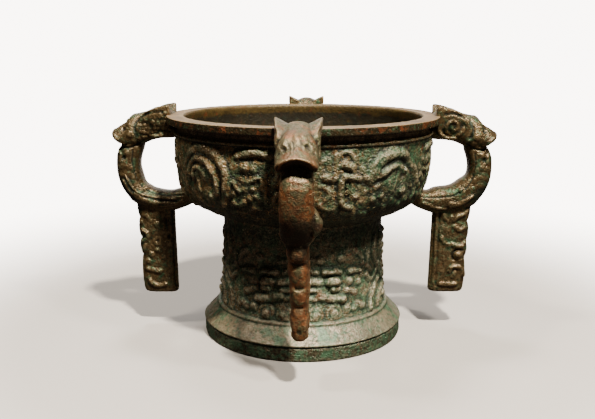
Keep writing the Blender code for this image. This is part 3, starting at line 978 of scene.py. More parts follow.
@dataclass(frozen=True)
class BeastHead:
    """A beast's head at the rim that bites the loop. Lengths along it are distances from the vessel's axis."""

    swirl: Swirl
    half_width: float = 14.6
    mouth_width: float = 11.9
    horn_stand: float = 13.4
    lip_droop: float = 5.2

    def body(self) -> Shell:
        """Skull and muzzle: sections along the head, rounder behind, hollowed below the upper lip.

        Returns:
            The points and the faces.
        """
        keys = np.array([
            (100.5, 162.0, 174.5, 0.62, 0.0, 2.0, 0.0), (104.0, 161.4, 180.0, 0.78, 0.0, 2.0, 0.0),
            (109.0, 160.8, 184.2, 0.88, 0.0, 2.0, 0.0), (117.0, 160.4, 186.7, 0.94, 0.0, 2.0, 0.0),
            (123.0, 159.2, 184.9, 0.95, 0.0, 2.1, 0.02), (128.0, 157.2, 182.8, 0.96, 0.0, 2.2, 0.04),
            (133.0, 155.2, 181.6, 0.97, 0.0, 2.3, 0.08), (137.0, 154.0, 180.7, 0.98, 1.5, 2.4, 0.12),
            (140.0, 153.4, 179.2, 0.98, 4.4, 2.4, 0.14), (142.5, 153.0, 176.8, 0.98, 7.2, 2.4, 0.14),
            (144.5, 152.9, 174.2, 0.98, 8.6, 2.4, 0.13), (146.5, 153.8, 172.0, 0.97, 8.0, 2.4, 0.12),
            (149.5, 156.4, 170.2, 0.95, 5.4, 2.4, 0.1), (152.2, 159.4, 168.6, 0.9, 3.6, 2.3, 0.1),
            (154.4, 162.4, 167.0, 0.8, 2.0, 2.2, 0.1), (155.8, 164.3, 165.8, 0.6, 0.5, 2.1, 0.1)])
        rings = []
        for reach, under, top, share, arch, power, taper in flowing(keys, 1.1):
            shape = rounded(40, power)
            middle, half = (under + top) / 2.0, (top - under) / 2.0
            side = shape[:, 0] * self.half_width * share * (1.0 - taper * np.clip(shape[:, 1], 0.0, 1.0))
            height = middle + shape[:, 1] * half
            low = smoothstep(0.2, -0.7, shape[:, 1])
            height = height + low * arch * np.clip(1.0 - (side / self.mouth_width) ** 2, 0.0, 1.0)
            droop = self.lip_droop * min(1.0, max(0.0, (reach - 144.0) / 10.0))
            height = height + droop * (0.25 - (side / self.half_width) ** 2)
            rings.append(np.stack([np.full(len(side), reach), side, height], axis=1))
        return tube(rings)

    @staticmethod
    def ear(side: float) -> Shell:
        """One ear: the raised outer edge of the skull, pointed behind and lower towards the brow.

        Args:
            side: 1 or -1, for the side of the head.

        Returns:
            The points and the faces.
        """
        keys = np.array([(106.3, 186.8, 14.6, 183.0), (107.1, 188.5, 16.4, 184.0), (112.0, 188.3, 16.3, 184.3),
                         (118.0, 186.7, 15.9, 184.0), (124.0, 184.3, 15.1, 182.4), (129.0, 181.0, 13.8, 179.6),
                         (134.0, 175.5, 12.0, 175.0)])
        rings = []
        for reach, tip, spread, notch in flowing(keys, 1.0):
            corners = np.array([(spread, tip), (spread + 0.1, tip - 5.0), (spread - 1.4, 172.0),
                                (spread - 4.0, 168.0), (5.0, 169.0), (4.0, notch - 3.0), (6.6, notch - 0.2),
                                (spread - 1.5, tip - 0.3)])
            rings.append(np.column_stack([np.full(len(corners), reach), side * corners[:, 0], corners[:, 1]]))
        return tube(rings)

    def horn(self, side: float) -> Shell:
        """The rolled rim of the round horn on one side of the head.

        Args:
            side: 1 or -1, for the side of the head.

        Returns:
            The points and the faces.
        """
        path = flowing(self.horn_path(), 1.5)
        ahead = np.gradient(path, axis=0)
        ahead /= np.linalg.norm(ahead, axis=1)[:, None]
        turn = np.arange(10) * 2.0 * math.pi / 10
        rings = []
        for k, (place, way) in enumerate(zip(path, ahead)):
            thick = 1.9 * min(1.0, 0.4 + 0.2 * k, 0.4 + 0.2 * (len(path) - 1 - k))
            across = np.array([way[1], -way[0]])
            spot = place + thick * np.cos(turn)[:, None] * across
            rings.append(np.column_stack([spot[:, 0], side * (self.horn_stand + thick * np.sin(turn)), spot[:, 1]]))
        return tube(rings)

    @staticmethod
    def horn_path() -> List[Point2]:
        """The rolled rim of the horn on the side of the head, in distance from the axis and height."""
        return [(130.6, 168.0), (131.4, 173.4), (128.4, 178.2), (122.6, 180.8), (116.0, 180.4), (110.8, 176.6),
                (108.8, 170.8), (111.2, 165.6), (117.0, 163.2), (123.6, 163.6)]

    def side_marks(self) -> List[Mark]:
        """Carving of both cheeks, in distance from the axis and height.

        Returns:
            Its marks.
        """
        marks = [dot((139.4, 164.8), 7.0, 1.2), dot((137.0, 158.8), 5.4, 1.1), dot((132.4, 161.6), 4.6, 0.9),
                 stroke([(152.6, 163.6), (150.0, 159.8), (147.0, 156.6), (143.0, 155.8), (139.6, 157.0)], 3.2, 1.0),
                 stroke([(140.4, 172.4), (144.4, 172.0), (147.4, 169.4)], 2.6, 0.8),
                 stroke([(112.6, 182.8), (120.0, 182.8), (126.0, 181.2)], 3.4, -0.7),
                 stroke([(124.0, 181.8), (131.2, 178.6), (134.8, 174.6), (136.0, 169.0), (133.8, 163.6)], 3.2, -1.5),
                 dot((145.4, 168.9), 4.4, -2.2),
                 stroke([(147.6, 154.4), (142.0, 153.6), (135.4, 156.0), (129.0, 159.6)], 2.0, -1.1)]
        if self.swirl is Swirl.SPIRAL:
            marks.append(Mark(whorl((120.2, 172.2), (8.8, 1.6), 150.0, 520.0), 3.0, 0.9))
        else:
            rng = np.random.default_rng(14)
            marks += [dot(place, 4.0, 1.3) for place in ((116.6, 174.0), (120.8, 174.6), (119.0, 170.2))]
            for row in range(7):
                for bead in range(9):
                    place = (107.4 + 3.2 * bead + 1.5 * (row % 2) + rng.uniform(-0.7, 0.7),
                             163.4 + 3.1 * row + rng.uniform(-0.7, 0.7))
                    if place[1] < 184.4 - 0.4 * (place[0] - 108.0):
                        marks.append(dot(place, rng.uniform(2.6, 3.9), rng.uniform(0.4, 1.1)))
        return marks

    def face_marks(self) -> List[Mark]:
        """Carving of the forehead and muzzle, in distance across and height.

        Returns:
            Its marks.
        """
        return [stroke([(-0.4, 180.2), (0.2, 176.0), (0.6, 171.6)], 4.4, 0.8),
                Mark(arc((1.0, 184.0), 2.4, 0.0, 330.0), 1.5, 0.5),
                dot((-8.4, 174.8), 5.8, 1.2),
                stroke([(-3.4, 175.2), (-2.6, 172.6), (-2.9, 170.2)], 1.7, 0.7),
                dot((5.6, 175.4), 4.4, 1.1),
                stroke([(8.4, 174.8), (11.4, 172.4)], 2.4, 0.6),
                dot((-13.0, 177.2), 5.4, 1.0), dot((13.0, 177.2), 5.4, 1.0),
                stroke([(-11.4, 160.6), (-8.4, 164.6), (0.0, 167.0), (8.4, 164.8), (11.4, 160.8)], 2.2, 0.7),
                dot((-8.4, 171.2), 4.4, -1.5), dot((-13.4, 174.2), 3.0, -1.0), dot((13.4, 174.2), 3.0, -0.8),
                stroke([(5.8, 173.4), (7.6, 172.3), (9.6, 170.6)], 2.2, -1.1),
                stroke([(-12.8, 170.0), (-12.4, 164.0), (-13.0, 159.0)], 1.8, -0.5)]


@dataclass(frozen=True)
class Loop:
    """The thick loop below a head, from the mouth round to the belly, with scales and a wing carved on it."""

    half_width: float = 11.4
    paired_ridges: bool = False
    hole_drop: float = 0.0

    def body(self) -> Shell:
        """Sections square to the loop's run, from inside the mouth to inside the belly's wall.

        Returns:
            The points and the faces.
        """
        keys = np.array([
            (130.0, 165.5, 138.5, 166.5, 0.78), (130.4, 159.5, 146.2, 161.4, 0.88),
            (131.4, 153.0, 149.9, 155.2, 0.94), (133.6, 146.5, 153.4, 148.5, 0.98), (134.8, 139.0, 154.4, 139.5, 1.0),
            (133.6, 132.0, 153.8, 130.0, 1.0), (130.0, 126.0, 151.0, 121.0, 1.0), (125.8, 122.8, 145.8, 112.4, 1.0),
            (121.0, 120.6, 138.2, 105.6, 1.0), (110.0, 119.0, 113.5, 99.6, 0.98), (102.5, 118.8, 97.5, 103.4, 0.95),
            (95.0, 121.0, 84.5, 110.6, 0.9)])
        low = (keys[:, 1] < 132.0) & (keys[:, 0] > 105.0)
        keys[low, 1] -= self.hole_drop
        keys[low, 0] += 0.6 * self.hole_drop
        shape = rounded(44, 2.5)
        rings = []
        for r_in, z_in, r_out, z_out, share in flowing(keys, 1.4):
            inner, outer = np.array([r_in, z_in]), np.array([r_out, z_out])
            middle, half = (inner + outer) / 2.0, (outer - inner) / 2.0
            place = middle + shape[:, :1] * half
            rings.append(np.column_stack([place[:, 0], shape[:, 1] * self.half_width * share, place[:, 1]]))
        return tube(rings)

    def side_marks(self) -> List[Mark]:
        """Carving of both sides, in distance from the axis and height.

        Returns:
            Its marks.
        """
        marks = [stroke([(121.6, 108.2), (126.6, 109.0), (132.0, 111.6), (138.4, 116.0)], 6.4, 1.7, tip=0.5),
                 stroke([(99.0, 109.6), (108.0, 106.2), (117.0, 105.2)], 3.0, 1.1),
                 dot((129.6, 120.4), 5.4, 1.1), dot((143.8, 149.4), 5.0, 1.1),
                 stroke([(150.6, 151.0), (148.8, 147.4), (149.8, 142.6)], 3.0, 1.0),
                 stroke([(138.8, 152.0), (139.2, 139.0), (134.8, 125.0), (124.6, 116.8), (111.0, 114.4),
                         (98.0, 114.6)], 1.8, -0.8),
                 dot((146.6, 145.4), 4.4, -1.9)]
        if self.paired_ridges:
            marks.append(stroke([(147.5, 127.0), (143.0, 119.0), (136.6, 112.2), (126.6, 109.0),
                                 (105.0, 107.4)], 2.4, 1.5))
            marks.append(stroke([(145.6, 130.4), (140.2, 121.4), (133.8, 116.0), (124.0, 113.0),
                                 (105.0, 111.6)], 2.2, 1.4))
        for step in range(3):
            low = 139.0 - 7.4 * step
            marks.append(stroke([(140.4 - step, low - 2.4), (144.0 - step, low), (150.0 - step, low - 0.6)],
                                5.0, 0.6))
        return marks

    def face_marks(self) -> List[Mark]:
        """Carving of the outer face, in distance across and height.

        Returns:
            Its marks.
        """
        return [stroke([(-9.4, 151.0), (-9.2, 134.0), (-9.0, 117.0)], 2.2, 0.6),
                stroke([(-8.6, 151.0), (-3.6, 152.6), (2.4, 151.8), (8.6, 152.4)], 3.4, 0.35),
                stroke([(-8.0, 145.4), (-1.0, 147.2), (7.6, 145.8)], 3.0, 0.2)]


@dataclass(frozen=True)
class Pendant:
    """The plate that hangs under a loop, scalloped down its outer edge."""

    bottom: float
    sway: float = 0.0
    swell: float = 0.0
    inner: float = 106.8
    outer: float = 139.3
    top: float = 108.0
    half_widths: Point2 = (8.0, 5.7)
    steps: Sequence[float] = (93.8, 76.5, 62.6)
    curls: Curls = Curls.HOOKED

    def scallop(self, height: np.ndarray) -> np.ndarray:
        """How far each height is from the nearest step between two scallops.

        Args:
            height: heights in mm.

        Returns:
            0 at a step, 1 half-way between two.
        """
        edges = np.array([self.top + 4.0, *self.steps, self.bottom - 2.0])
        spot = np.clip(np.searchsorted(-edges, -height), 1, len(edges) - 1)
        share = (edges[spot - 1] - height) / (edges[spot - 1] - edges[spot])
        return np.clip(4.0 * share * (1.0 - share), 0.0, 1.0) ** 0.5

    def ledge(self, height: np.ndarray) -> np.ndarray:
        """How close each height is to the upper end of a scallop, from 1 at it to 0 some mm below."""
        below = np.array([self.top - 4.0, *self.steps])[None, :] - height[:, None]
        return smoothstep(6.0, 1.5, np.where(below > 0.0, below, np.inf).min(axis=1))

    def body(self) -> Shell:
        """Level sections from the loop down to the rounded end.

        Returns:
            The points and the faces.
        """
        heights = np.concatenate([np.arange(self.top, self.bottom + 3.0, -1.0),
                                  self.bottom + np.array([2.2, 1.2, 0.5, 0.0])])
        corner = np.clip((heights - self.bottom) / 3.0, 0.0, 1.0)
        rounding = np.sqrt(1.0 - (1.0 - corner) ** 2)
        fall = (self.top - heights) / (self.top - self.bottom)
        bulge = self.scallop(heights)
        inner = self.inner + 1.0 - 1.6 * fall
        outer = self.outer - 3.2 * fall + 2.4 * (bulge - 1.0)
        outer += self.swell * smoothstep(self.steps[0] - 2.0, self.steps[0] + 4.0, heights)
        width = self.half_widths[0] + (self.half_widths[1] - self.half_widths[0]) * fall + 0.8 * (bulge - 1.0)
        shape = rounded(40, 3.0)
        rings = []
        for k, height in enumerate(heights):
            middle, half = (inner[k] + outer[k]) / 2.0, (outer[k] - inner[k]) / 2.0 - 2.6 * (1.0 - rounding[k])
            side = width[k] - 2.0 * (1.0 - rounding[k])
            rings.append(np.column_stack([middle + shape[:, 0] * half,
                                          self.sway * min(1.0, 2.0 * fall[k]) + shape[:, 1] * side,
                                          np.full(len(shape), height)]))
        return tube(rings)

    def side_marks(self) -> List[Mark]:
        """Carving of both flat sides, in distance from the axis and height.

        Returns:
            Its marks.
        """
        low = self.bottom
        marks = [stroke([(111.0, 101.0), (110.6, 80.0), (110.2, low + 8.0)], 2.0, 0.9),
                 stroke([(108.8, 101.0), (108.6, 80.0), (108.2, low + 6.0)], 1.4, -0.7)]
        if self.curls is Curls.HOOKED:
            marks += [stroke([(116.2, 100.0), (117.6, 96.0), (121.6, 94.0), (123.4, 97.6)], 3.8, 1.1),
                      stroke([(125.4, 94.6), (128.6, 98.2), (133.4, 99.8), (136.0, 103.0)], 4.2, 1.4),
                      stroke([(116.4, 89.4), (120.0, 86.4), (120.0, 81.8)], 3.6, 0.9),
                      stroke([(126.0, 89.6), (130.0, 86.4), (134.6, 88.6)], 4.6, 1.2),
                      stroke([(115.6, 79.8), (117.6, 76.0), (121.6, 73.6)], 4.4, 1.6),
                      stroke([(124.0, 74.6), (128.0, 72.8), (132.6, 73.0), (135.4, 76.6)], 4.4, 1.7),
                      dot((130.0, 64.6), 8.6, 2.3),
                      stroke([(130.6, 59.6), (134.6, 62.0)], 3.4, 1.2),
                      stroke([(122.8, 50.6), (124.8, 54.2), (128.6, 55.0), (133.4, 53.2), (134.8, 47.0)], 4.4, 2.3),
                      stroke([(127.6, 50.0), (126.0, 46.0)], 3.8, 1.8),
                      stroke([(116.0, 39.6), (122.0, 39.2), (128.4, 39.6)], 4.6, 1.9),
                      dot((117.6, 62.0), 5.4, 0.7), dot((117.2, 50.4), 5.0, 0.6),
                      stroke([(113.2, 101.0), (113.0, 80.0), (112.6, low + 6.0)], 1.8, -0.8),
                      stroke([(133.6, 68.6), (128.6, 69.6), (124.8, 65.6), (125.6, 61.6)], 2.4, -1.5)]
        else:
            marks += [stroke([(127.4, 92.4), (130.6, 96.0), (134.6, 95.0), (135.6, 91.0)], 4.2, 1.6),
                      stroke([(134.6, 84.0), (130.4, 81.4), (130.4, 76.6), (133.8, 74.0)], 4.2, 1.7),
                      Mark(arc((121.6, 74.4), 2.8, -30.0, 290.0), 3.2, 1.6), dot((122.4, 66.8), 5.0, 1.4),
                      dot((127.4, 62.4), 6.6, 2.2), dot((130.4, 56.4), 6.4, 2.0),
                      stroke([(132.6, 70.4), (134.4, 64.4)], 4.4, 1.3),
                      stroke([(120.4, 47.6), (126.0, 48.4), (131.4, 49.6)], 5.0, 1.9),
                      stroke([(130.0, 39.6), (127.4, 36.6), (122.6, 35.2), (117.0, 36.4)], 5.0, 2.0),
                      stroke([(117.0, 98.0), (116.6, 88.0), (117.0, 80.0)], 3.6, 1.0),
                      dot((112.4, 72.6), 6.4, 1.6), dot((122.6, 89.0), 5.6, 1.0), dot((117.4, 60.4), 6.6, 0.8),
                      stroke([(113.0, 64.0), (112.4, 48.0)], 4.4, 0.8), dot((122.4, 56.0), 5.0, 0.8),
                      dot((112.0, 79.2), 4.6, -2.0), stroke([(114.0, 101.0), (113.6, 84.0)], 1.6, -0.7)]
        return marks

    def face_marks(self) -> List[Mark]:
        """Cuts across the outer edge, one under each scallop, in distance across and height.

        Returns:
            Its marks.
        """
        marks = [stroke([(-9.0, step + 0.8), (0.0, step - 0.6), (9.0, step + 0.8)], 2.2, -0.45)
                 for step in self.steps]
        marks.append(dot((self.sway, self.bottom + 8.0), 4.6, -0.7))
        return marks


@dataclass(frozen=True)
class BeastHandle:
    """One handle: head, loop and pendant, cast as one."""

    side: Side
    head: BeastHead
    loop: Loop
    pendant: Pendant
    spur: bool = False
    side_depth: float = 1.0
    grain: float = 0.63
    seed: int = 0

    @property
    def name(self) -> str:
        """The piece's name."""
        return f"handle_{self.side.name.lower()}"

    def spur_body(self) -> Shell:
        """A leaf that stands out sideways from the front loop.

        Returns:
            The points and the faces.
        """
        shape = rounded(20, 2.2)
        rings = []
        for height, out, thick in flowing([(135.0, 9.6, 1.6), (130.6, 12.8, 3.0), (124.4, 16.0, 3.6),
                                           (118.4, 15.2, 3.2), (113.4, 10.8, 1.6)], 1.2):
            rings.append(np.column_stack([144.4 + shape[:, 0] * thick,
                                          10.0 + (out - 9.0) / 2.0 * (1.0 + shape[:, 1]),
                                          np.full(len(shape), height)]))
        return tube(rings)

    def blank(self) -> Skin:
        """The joined forms as one even skin, before carving, in the handle's own directions.

        Returns:
            The skin, still bare.
        """
        shells = [self.head.body(), self.head.ear(1.0), self.head.ear(-1.0),
                  self.head.horn(1.0), self.head.horn(-1.0), self.loop.body(), self.pendant.body()]
        if self.spur:
            shells.append(self.spur_body())
        points, faces = [], []
        for shell_points, shell_faces in shells:
            shift = sum(len(p) for p in points)
            points.append(shell_points)
            faces += [[i + shift for i in face] for face in shell_faces]
        mesh = bpy.data.meshes.new("blank")
        mesh.from_pydata(np.vstack(points).tolist(), [], faces)
        block = bpy.data.objects.new("blank", mesh)
        bpy.context.scene.collection.objects.link(block)
        joiner = block.modifiers.new("join", "REMESH")
        joiner.mode = "VOXEL"
        joiner.voxel_size = self.grain
        joined = bpy.data.meshes.new_from_object(block.evaluated_get(bpy.context.evaluated_depsgraph_get()))
        skin = skin_of(joined)
        bpy.data.objects.remove(block)
        bpy.data.meshes.remove(mesh)
        bpy.data.meshes.remove(joined)
        skin.points = skin.relaxed(5)
        return skin

    def build(self) -> Skin:
        """Joins, carves and roughens the handle, and turns it to its place.

        Returns:
            The skin, with its values.
        """
        skin = self.blank()
        r, t, z = skin.points.T
        normals = skin.normals()
        sides = [part.side_marks() for part in (self.head, self.loop, self.pendant)]
        faces = [part.face_marks() for part in (self.head, self.loop, self.pendant)]
        on_side = smoothstep(0.3, 0.62, np.abs(normals[:, 1]))
        on_face = smoothstep(0.2, 0.5, normals[:, 0]) * (1.0 - on_side)
        first, second = wander(skin.points, 0.5, 6.0, 60 + self.seed)
        raised = np.zeros(len(r))
        for marks in sides:
            raised += self.side_depth * on_side * carve(marks, r + first, z + second)
        for marks in faces:
            raised += on_face * carve(marks, t + first, z + second)
        raised *= weathering(skin.points, 65 + self.seed)
        skin.points = skin.points + normals * raised[:, None]
        skin.soften(np.clip(0.4 + on_side, 0.0, 1.0), 2)
        skin.corrode(0.13, 3.6, 40 + self.seed)
        skin.mark_crests(rounds=16, full=0.4)
        self.tone(skin, normals, (r, t, z), on_face, z + second)
        angle = math.radians(self.side.value)
        x, y = skin.points[:, 0].copy(), skin.points[:, 1].copy()
        skin.points[:, 0] = x * math.cos(angle) - y * math.sin(angle)
        skin.points[:, 1] = x * math.sin(angle) + y * math.cos(angle)
        return skin

    def tone(self, skin: Skin, normals: np.ndarray, place: Sequence[np.ndarray], on_face: np.ndarray,
             height: np.ndarray) -> None:
        """Sets where the bronze is dark, worn or copper red, with painted shade under the loop and the upper lip and
        painted highlights on the scallop tops.

        Args:
            skin: the carved handle, with its crests marked.
            normals: the blank's outward directions.
            place: the blank's distance from the vessel's axis, distance sideways and height.
            on_face: share of the outer face at each point.
            height: the height that the carving's lines were drawn at.
        """
        r, t, z = place
        crest = skin.values[CREST_AND_PAINTED_LIGHT]
        # Painted shade on the lower front of the loop, which faces down.
        under = smoothstep(131.0, 121.0, z) * smoothstep(130.0, 143.0, r) * smoothstep(-0.1, 0.5, normals[:, 0])
        # Painted shade under the upper lip, which faces down; the lip's red tint also covers it.
        mouth = smoothstep(146.0, 149.0, r) * smoothstep(0.1, -0.25, normals[:, 2]) * (z > 156.0)
        crest = np.clip(crest - 0.9 * under - mouth, -1.0, 1.0)
        cheek = smoothstep(8.5, 12.5, np.abs(t)) * smoothstep(124.0, 130.0, r) * smoothstep(175.0, 170.0, z)
        crest = np.clip(crest - 0.45 * cheek * on_face * (z > 158.0), -1.0, 1.0)
        copper = smoothstep(153.0, 146.0, z + 3.0 * lattice_noise(skin.points, 6.0, 90))
        bare = 0.36 * smoothstep(108.0, 100.0, z) - 0.38 * copper * on_face * smoothstep(106.0, 112.0, z)
        crest = np.clip(crest + bare * (1.0 - under), -1.0, 1.0)
        brow = smoothstep(8.0, 2.5, np.hypot(t + 1.5, r - 137.0))
        blush = np.maximum(np.maximum(0.7 * brow, 0.5 * smoothstep(149.0, 154.0, r)), mouth)
        red = np.maximum(copper * smoothstep(12.4, 10.6, t), np.where(z > 158.0, blush, 0.0))
        # Paler, less red tops of the scallops on the outer edge: cream wear, and painted highlight where they face
        # up.
        ledge = self.pendant.ledge(height) * on_face * (z < 105.0)
        skin.values[TINT] = red * (1.0 - 0.7 * ledge)
        skin.values[CREST_AND_PAINTED_LIGHT] = np.clip(crest + 0.4 * ledge, -1.0, 1.0)


def skin_of(mesh: bpy.types.Mesh) -> Skin:
    """A mesh taken as a skin.

    Args:
        mesh: a mesh of four-sided and three-sided faces.

    Returns:
        The skin.
    """
    points = np.empty(len(mesh.vertices) * 3)
    mesh.vertices.foreach_get("co", points)
    sizes = np.empty(len(mesh.polygons), dtype=np.int64)
    mesh.polygons.foreach_get("loop_total", sizes)
    starts = np.empty(len(mesh.polygons), dtype=np.int64)
    mesh.polygons.foreach_get("loop_start", starts)
    loops = np.empty(len(mesh.loops), dtype=np.int64)
    mesh.loops.foreach_get("vertex_index", loops)
    quads = loops[starts[sizes == 4][:, None] + np.arange(4)]
    triangles = loops[starts[sizes == 3][:, None] + np.arange(3)]
    return Skin(points.reshape(-1, 3), quads, triangles, np.zeros(len(quads) + len(triangles), dtype=np.int64))


# ---- nodes


class NodeKit:
    """Short ways to wire a node tree."""

    FIRST_COLOUR, SECOND_COLOUR, MIXED_COLOUR = 6, 7, 2

    def __init__(self, tree: bpy.types.NodeTree) -> None:
        """Keeps the tree to wire."""
        self.tree = tree

    def node(self, kind: str, settings: Optional[Dict[str, object]] = None, **links: object) -> bpy.types.Node:
        """Adds a node.

        Args:
            kind: the node's type.
            settings: its own properties.
            **links: what goes into each inlet, with _ for a space: an outlet, or a plain value.

        Returns:
            The node.
        """
        made = self.tree.nodes.new(kind)
        for label, setting in (settings or {}).items():
            setattr(made, label, setting)
        for label, value in links.items():
            self.feed(value, made.inputs[label.replace("_", " ")])
        return made

    def feed(self, value: object, inlet: Socket) -> None:
        """Links an outlet to an inlet, or sets the inlet to a plain value.

        Args:
            value: the outlet or the value.
            inlet: where it goes.
        """
        if isinstance(value, Socket):
            self.tree.links.new(value, inlet)
        else:
            inlet.default_value = value

    def math(self, operation: str, first: object, second: object, third: object = 0.0) -> Socket:
        """One arithmetic step on two or three values.

        Args:
            operation: the step's name.
            first: the first value.
            second: the second.
            third: the third, for a step that takes three.

        Returns:
            The outlet.
        """
        made = self.tree.nodes.new("ShaderNodeMath")
        made.operation = operation
        for value, inlet in zip((first, second, third), made.inputs):
            self.feed(value, inlet)
        return made.outputs[0]

    def step(self, value: object, low: object, high: object) -> Socket:
        """0 below low, 1 above high and a soft rise between.

        Args:
            value: the value that is judged.
            low: where the rise starts.
            high: where it ends.

        Returns:
            The outlet.
        """
        made = self.node("ShaderNodeMapRange", {"interpolation_type": "SMOOTHSTEP"}, Value=value, From_Min=low,
                         From_Max=high)
        return made.outputs[0]

    def blend(self, share: object, first: object, second: object, how: str = "MIX") -> Socket:
        """A colour between two colours.

        Args:
            share: 0 for the first, 1 for the second.
            first: the first colour.
            second: the second.
            how: how they mix.

        Returns:
            The outlet.
        """
        made = self.tree.nodes.new("ShaderNodeMix")
        made.data_type = "RGBA"
        made.blend_type = how
        for value, number in ((share, 0), (first, self.FIRST_COLOUR), (second, self.SECOND_COLOUR)):
            self.feed((*value, 1.0) if isinstance(value, tuple) else value, made.inputs[number])
        return made.outputs[self.MIXED_COLOUR]


class Tree(NodeKit):
    """A Geometry Nodes tree under construction, with named inputs and one mesh output."""

    def __init__(self, name: str) -> None:
        """Starts an empty tree.

        Args:
            name: the tree's name.
        """
        super().__init__(bpy.data.node_groups.new(name, "GeometryNodeTree"))
        self.tree.interface.new_socket("Geometry", in_out="INPUT", socket_type="NodeSocketGeometry")
        self.tree.interface.new_socket("Geometry", in_out="OUTPUT", socket_type="NodeSocketGeometry")
        self.entry = self.tree.nodes.new("NodeGroupInput")
        self.exit = self.tree.nodes.new("NodeGroupOutput")
        self.sockets: Dict[str, str] = {}

    def input(self, name: str, kind: str) -> Socket:
        """Adds a named input.

        Args:
            name: its name.
            kind: its kind, such as Float, Int or Material.

        Returns:
            Its outlet inside the tree.
        """
        item = self.tree.interface.new_socket(name, in_out="INPUT", socket_type=f"NodeSocket{kind}")
        self.sockets[name] = item.identifier
        return self.entry.outputs[name]

    def node(self, kind: str, settings: Optional[Dict[str, object]] = None, **links: object) -> bpy.types.Node:
        known = kind if kind.startswith(("FunctionNode", "ShaderNode")) else f"GeometryNode{kind}"
        return super().node(known, settings, **links)

    def finish(self, geometry: Socket, material: Socket) -> None:
        """Makes the instances real, shades them smooth, gives them their finish and sends them out.

        Args:
            geometry: the instances.
            material: their finish.
        """
        real = self.node("RealizeInstances", Geometry=geometry)
        smooth = self.node("SetShadeSmooth", Geometry=real.outputs[0])
        painted = self.node("SetMaterial", Geometry=smooth.outputs[0], Material=material)
        self.tree.links.new(painted.outputs[0], self.exit.inputs[0])

    def grow(self, name: str, host: bpy.types.Object, values: Dict[str, object]) -> bpy.types.Object:
        """Runs the tree on an object and keeps the result as a plain mesh.

        Args:
            name: the new piece's name.
            host: the object that the tree starts from. It is removed afterwards.
            values: the value of each named input.

        Returns:
            The new piece.
        """
        maker = host.modifiers.new(name, "NODES")
        maker.node_group = self.tree
        for label, value in values.items():
            maker[self.sockets[label]] = value
        ready = host.evaluated_get(bpy.context.evaluated_depsgraph_get())
        mesh = bpy.data.meshes.new_from_object(ready)
        host.modifiers.remove(maker)
        bpy.data.objects.remove(host)
        mesh.name = name
        piece = bpy.data.objects.new(name, mesh)
        bpy.context.scene.collection.objects.link(piece)
        return piece


def seat_points(name: str, seats: ScrollSeats) -> bpy.types.Object:
    """An object with one loose point a seat, which carries its outward direction and its turn.

    Args:
        name: the object's name.
        seats: the seats.

    Returns:
        The object.
    """
    mesh = bpy.data.meshes.new(name)
    mesh.from_pydata((seats.places * MM).tolist(), [], [])
    mesh.attributes.new(FACING, "FLOAT_VECTOR", "POINT").data.foreach_set("vector", seats.facings.ravel())
    mesh.attributes.new(SPIN, "FLOAT", "POINT").data.foreach_set("value", seats.turns)
    holder = bpy.data.objects.new(name, mesh)
    bpy.context.scene.collection.objects.link(holder)
    return holder


@dataclass(frozen=True)
class ThunderScrolls:
    """The squared scrolls that fill the ground between the larger forms."""

    turns: float = 1.75
    radius: float = 2.3
    core: float = 0.3
    ridge: float = 0.45
    corners: int = 7
    least: float = 0.6
    most: float = 1.08
    seed: int = 4

    def tree(self) -> Tree:
        """One spiral ridge of four-cornered turns, set on every seat and turned as the seat says.

        Returns:
            The tree.
        """
        tree = Tree("thunder_scrolls")
        turns, radius, core = (tree.input(n, "Float") for n in ("Turns", "Outer Radius", "Core Radius"))
        ridge, seed = tree.input("Ridge", "Float"), tree.input("Seed", "Int")
        corners = tree.input("Corners", "Int")
        finish = tree.input("Finish", "Material")
        spiral = tree.node("CurveSpiral", Resolution=corners, Rotations=turns, Start_Radius=core, End_Radius=radius,
                           Height=0.0)
        section = tree.node("CurvePrimitiveCircle", Resolution=4, Radius=ridge)
        line = tree.node("CurveToMesh", Curve=spiral.outputs[0], Profile_Curve=section.outputs[0], Fill_Caps=True)
        facing = tree.node("InputNamedAttribute", {"data_type": "FLOAT_VECTOR"}, Name=FACING)
        spin = tree.node("InputNamedAttribute", {"data_type": "FLOAT"}, Name=SPIN)
        upright = tree.node("FunctionNodeAlignRotationToVector", {"axis": "Z"}, Vector=facing.outputs[0])
        turned_by = tree.node("FunctionNodeAxisAngleToRotation", Axis=(0.0, 0.0, 1.0), Angle=spin.outputs[0])
        aimed = tree.node("FunctionNodeRotateRotation", {"rotation_space": "LOCAL"},
                          Rotation=upright.outputs[0], Rotate_By=turned_by.outputs[0])
        size = tree.node("FunctionNodeRandomValue", {"data_type": "FLOAT"}, Seed=seed)
        least, most = size.inputs[2], size.inputs[3]
        tree.feed(self.least, least)
        tree.feed(self.most, most)
        placed = tree.node("InstanceOnPoints", Points=tree.entry.outputs[0], Instance=line.outputs[0],
                           Rotation=aimed.outputs[0], Scale=size.outputs[1])
        tree.finish(placed.outputs[0], finish)
        return tree

    def build(self, name: str, seats: ScrollSeats, finish: bpy.types.Material) -> bpy.types.Object:
        """Cuts the scrolls of one wall.

        Args:
            name: the piece's name.
            seats: where they sit.
            finish: their material.

        Returns:
            The piece.
        """
        values = {"Turns": self.turns, "Outer Radius": self.radius * MM, "Core Radius": self.core * MM,
                  "Ridge": self.ridge * MM, "Seed": self.seed, "Corners": self.corners, "Finish": finish}
        return self.tree().grow(name, seat_points(name, seats), values)


# ---- finishes


@dataclass(frozen=True)
class Finish:
    """One patina. Colours are linear; covers and wear are shares of the surface from 0 to 1. The worn colour also
    paints glints, and the hollow colour also paints shade where a piece lowers the crest value.
    """

    name: str
    hollow: Colour
    body: Colour
    second: Colour
    worn: Colour
    verdigris: Colour
    rust: Colour
    green_cover: float
    rust_cover: float
    wear: float
    gloss: float
    matt: float
    metallic: float
    patch: float = 9.0
    grit: float = 1.0


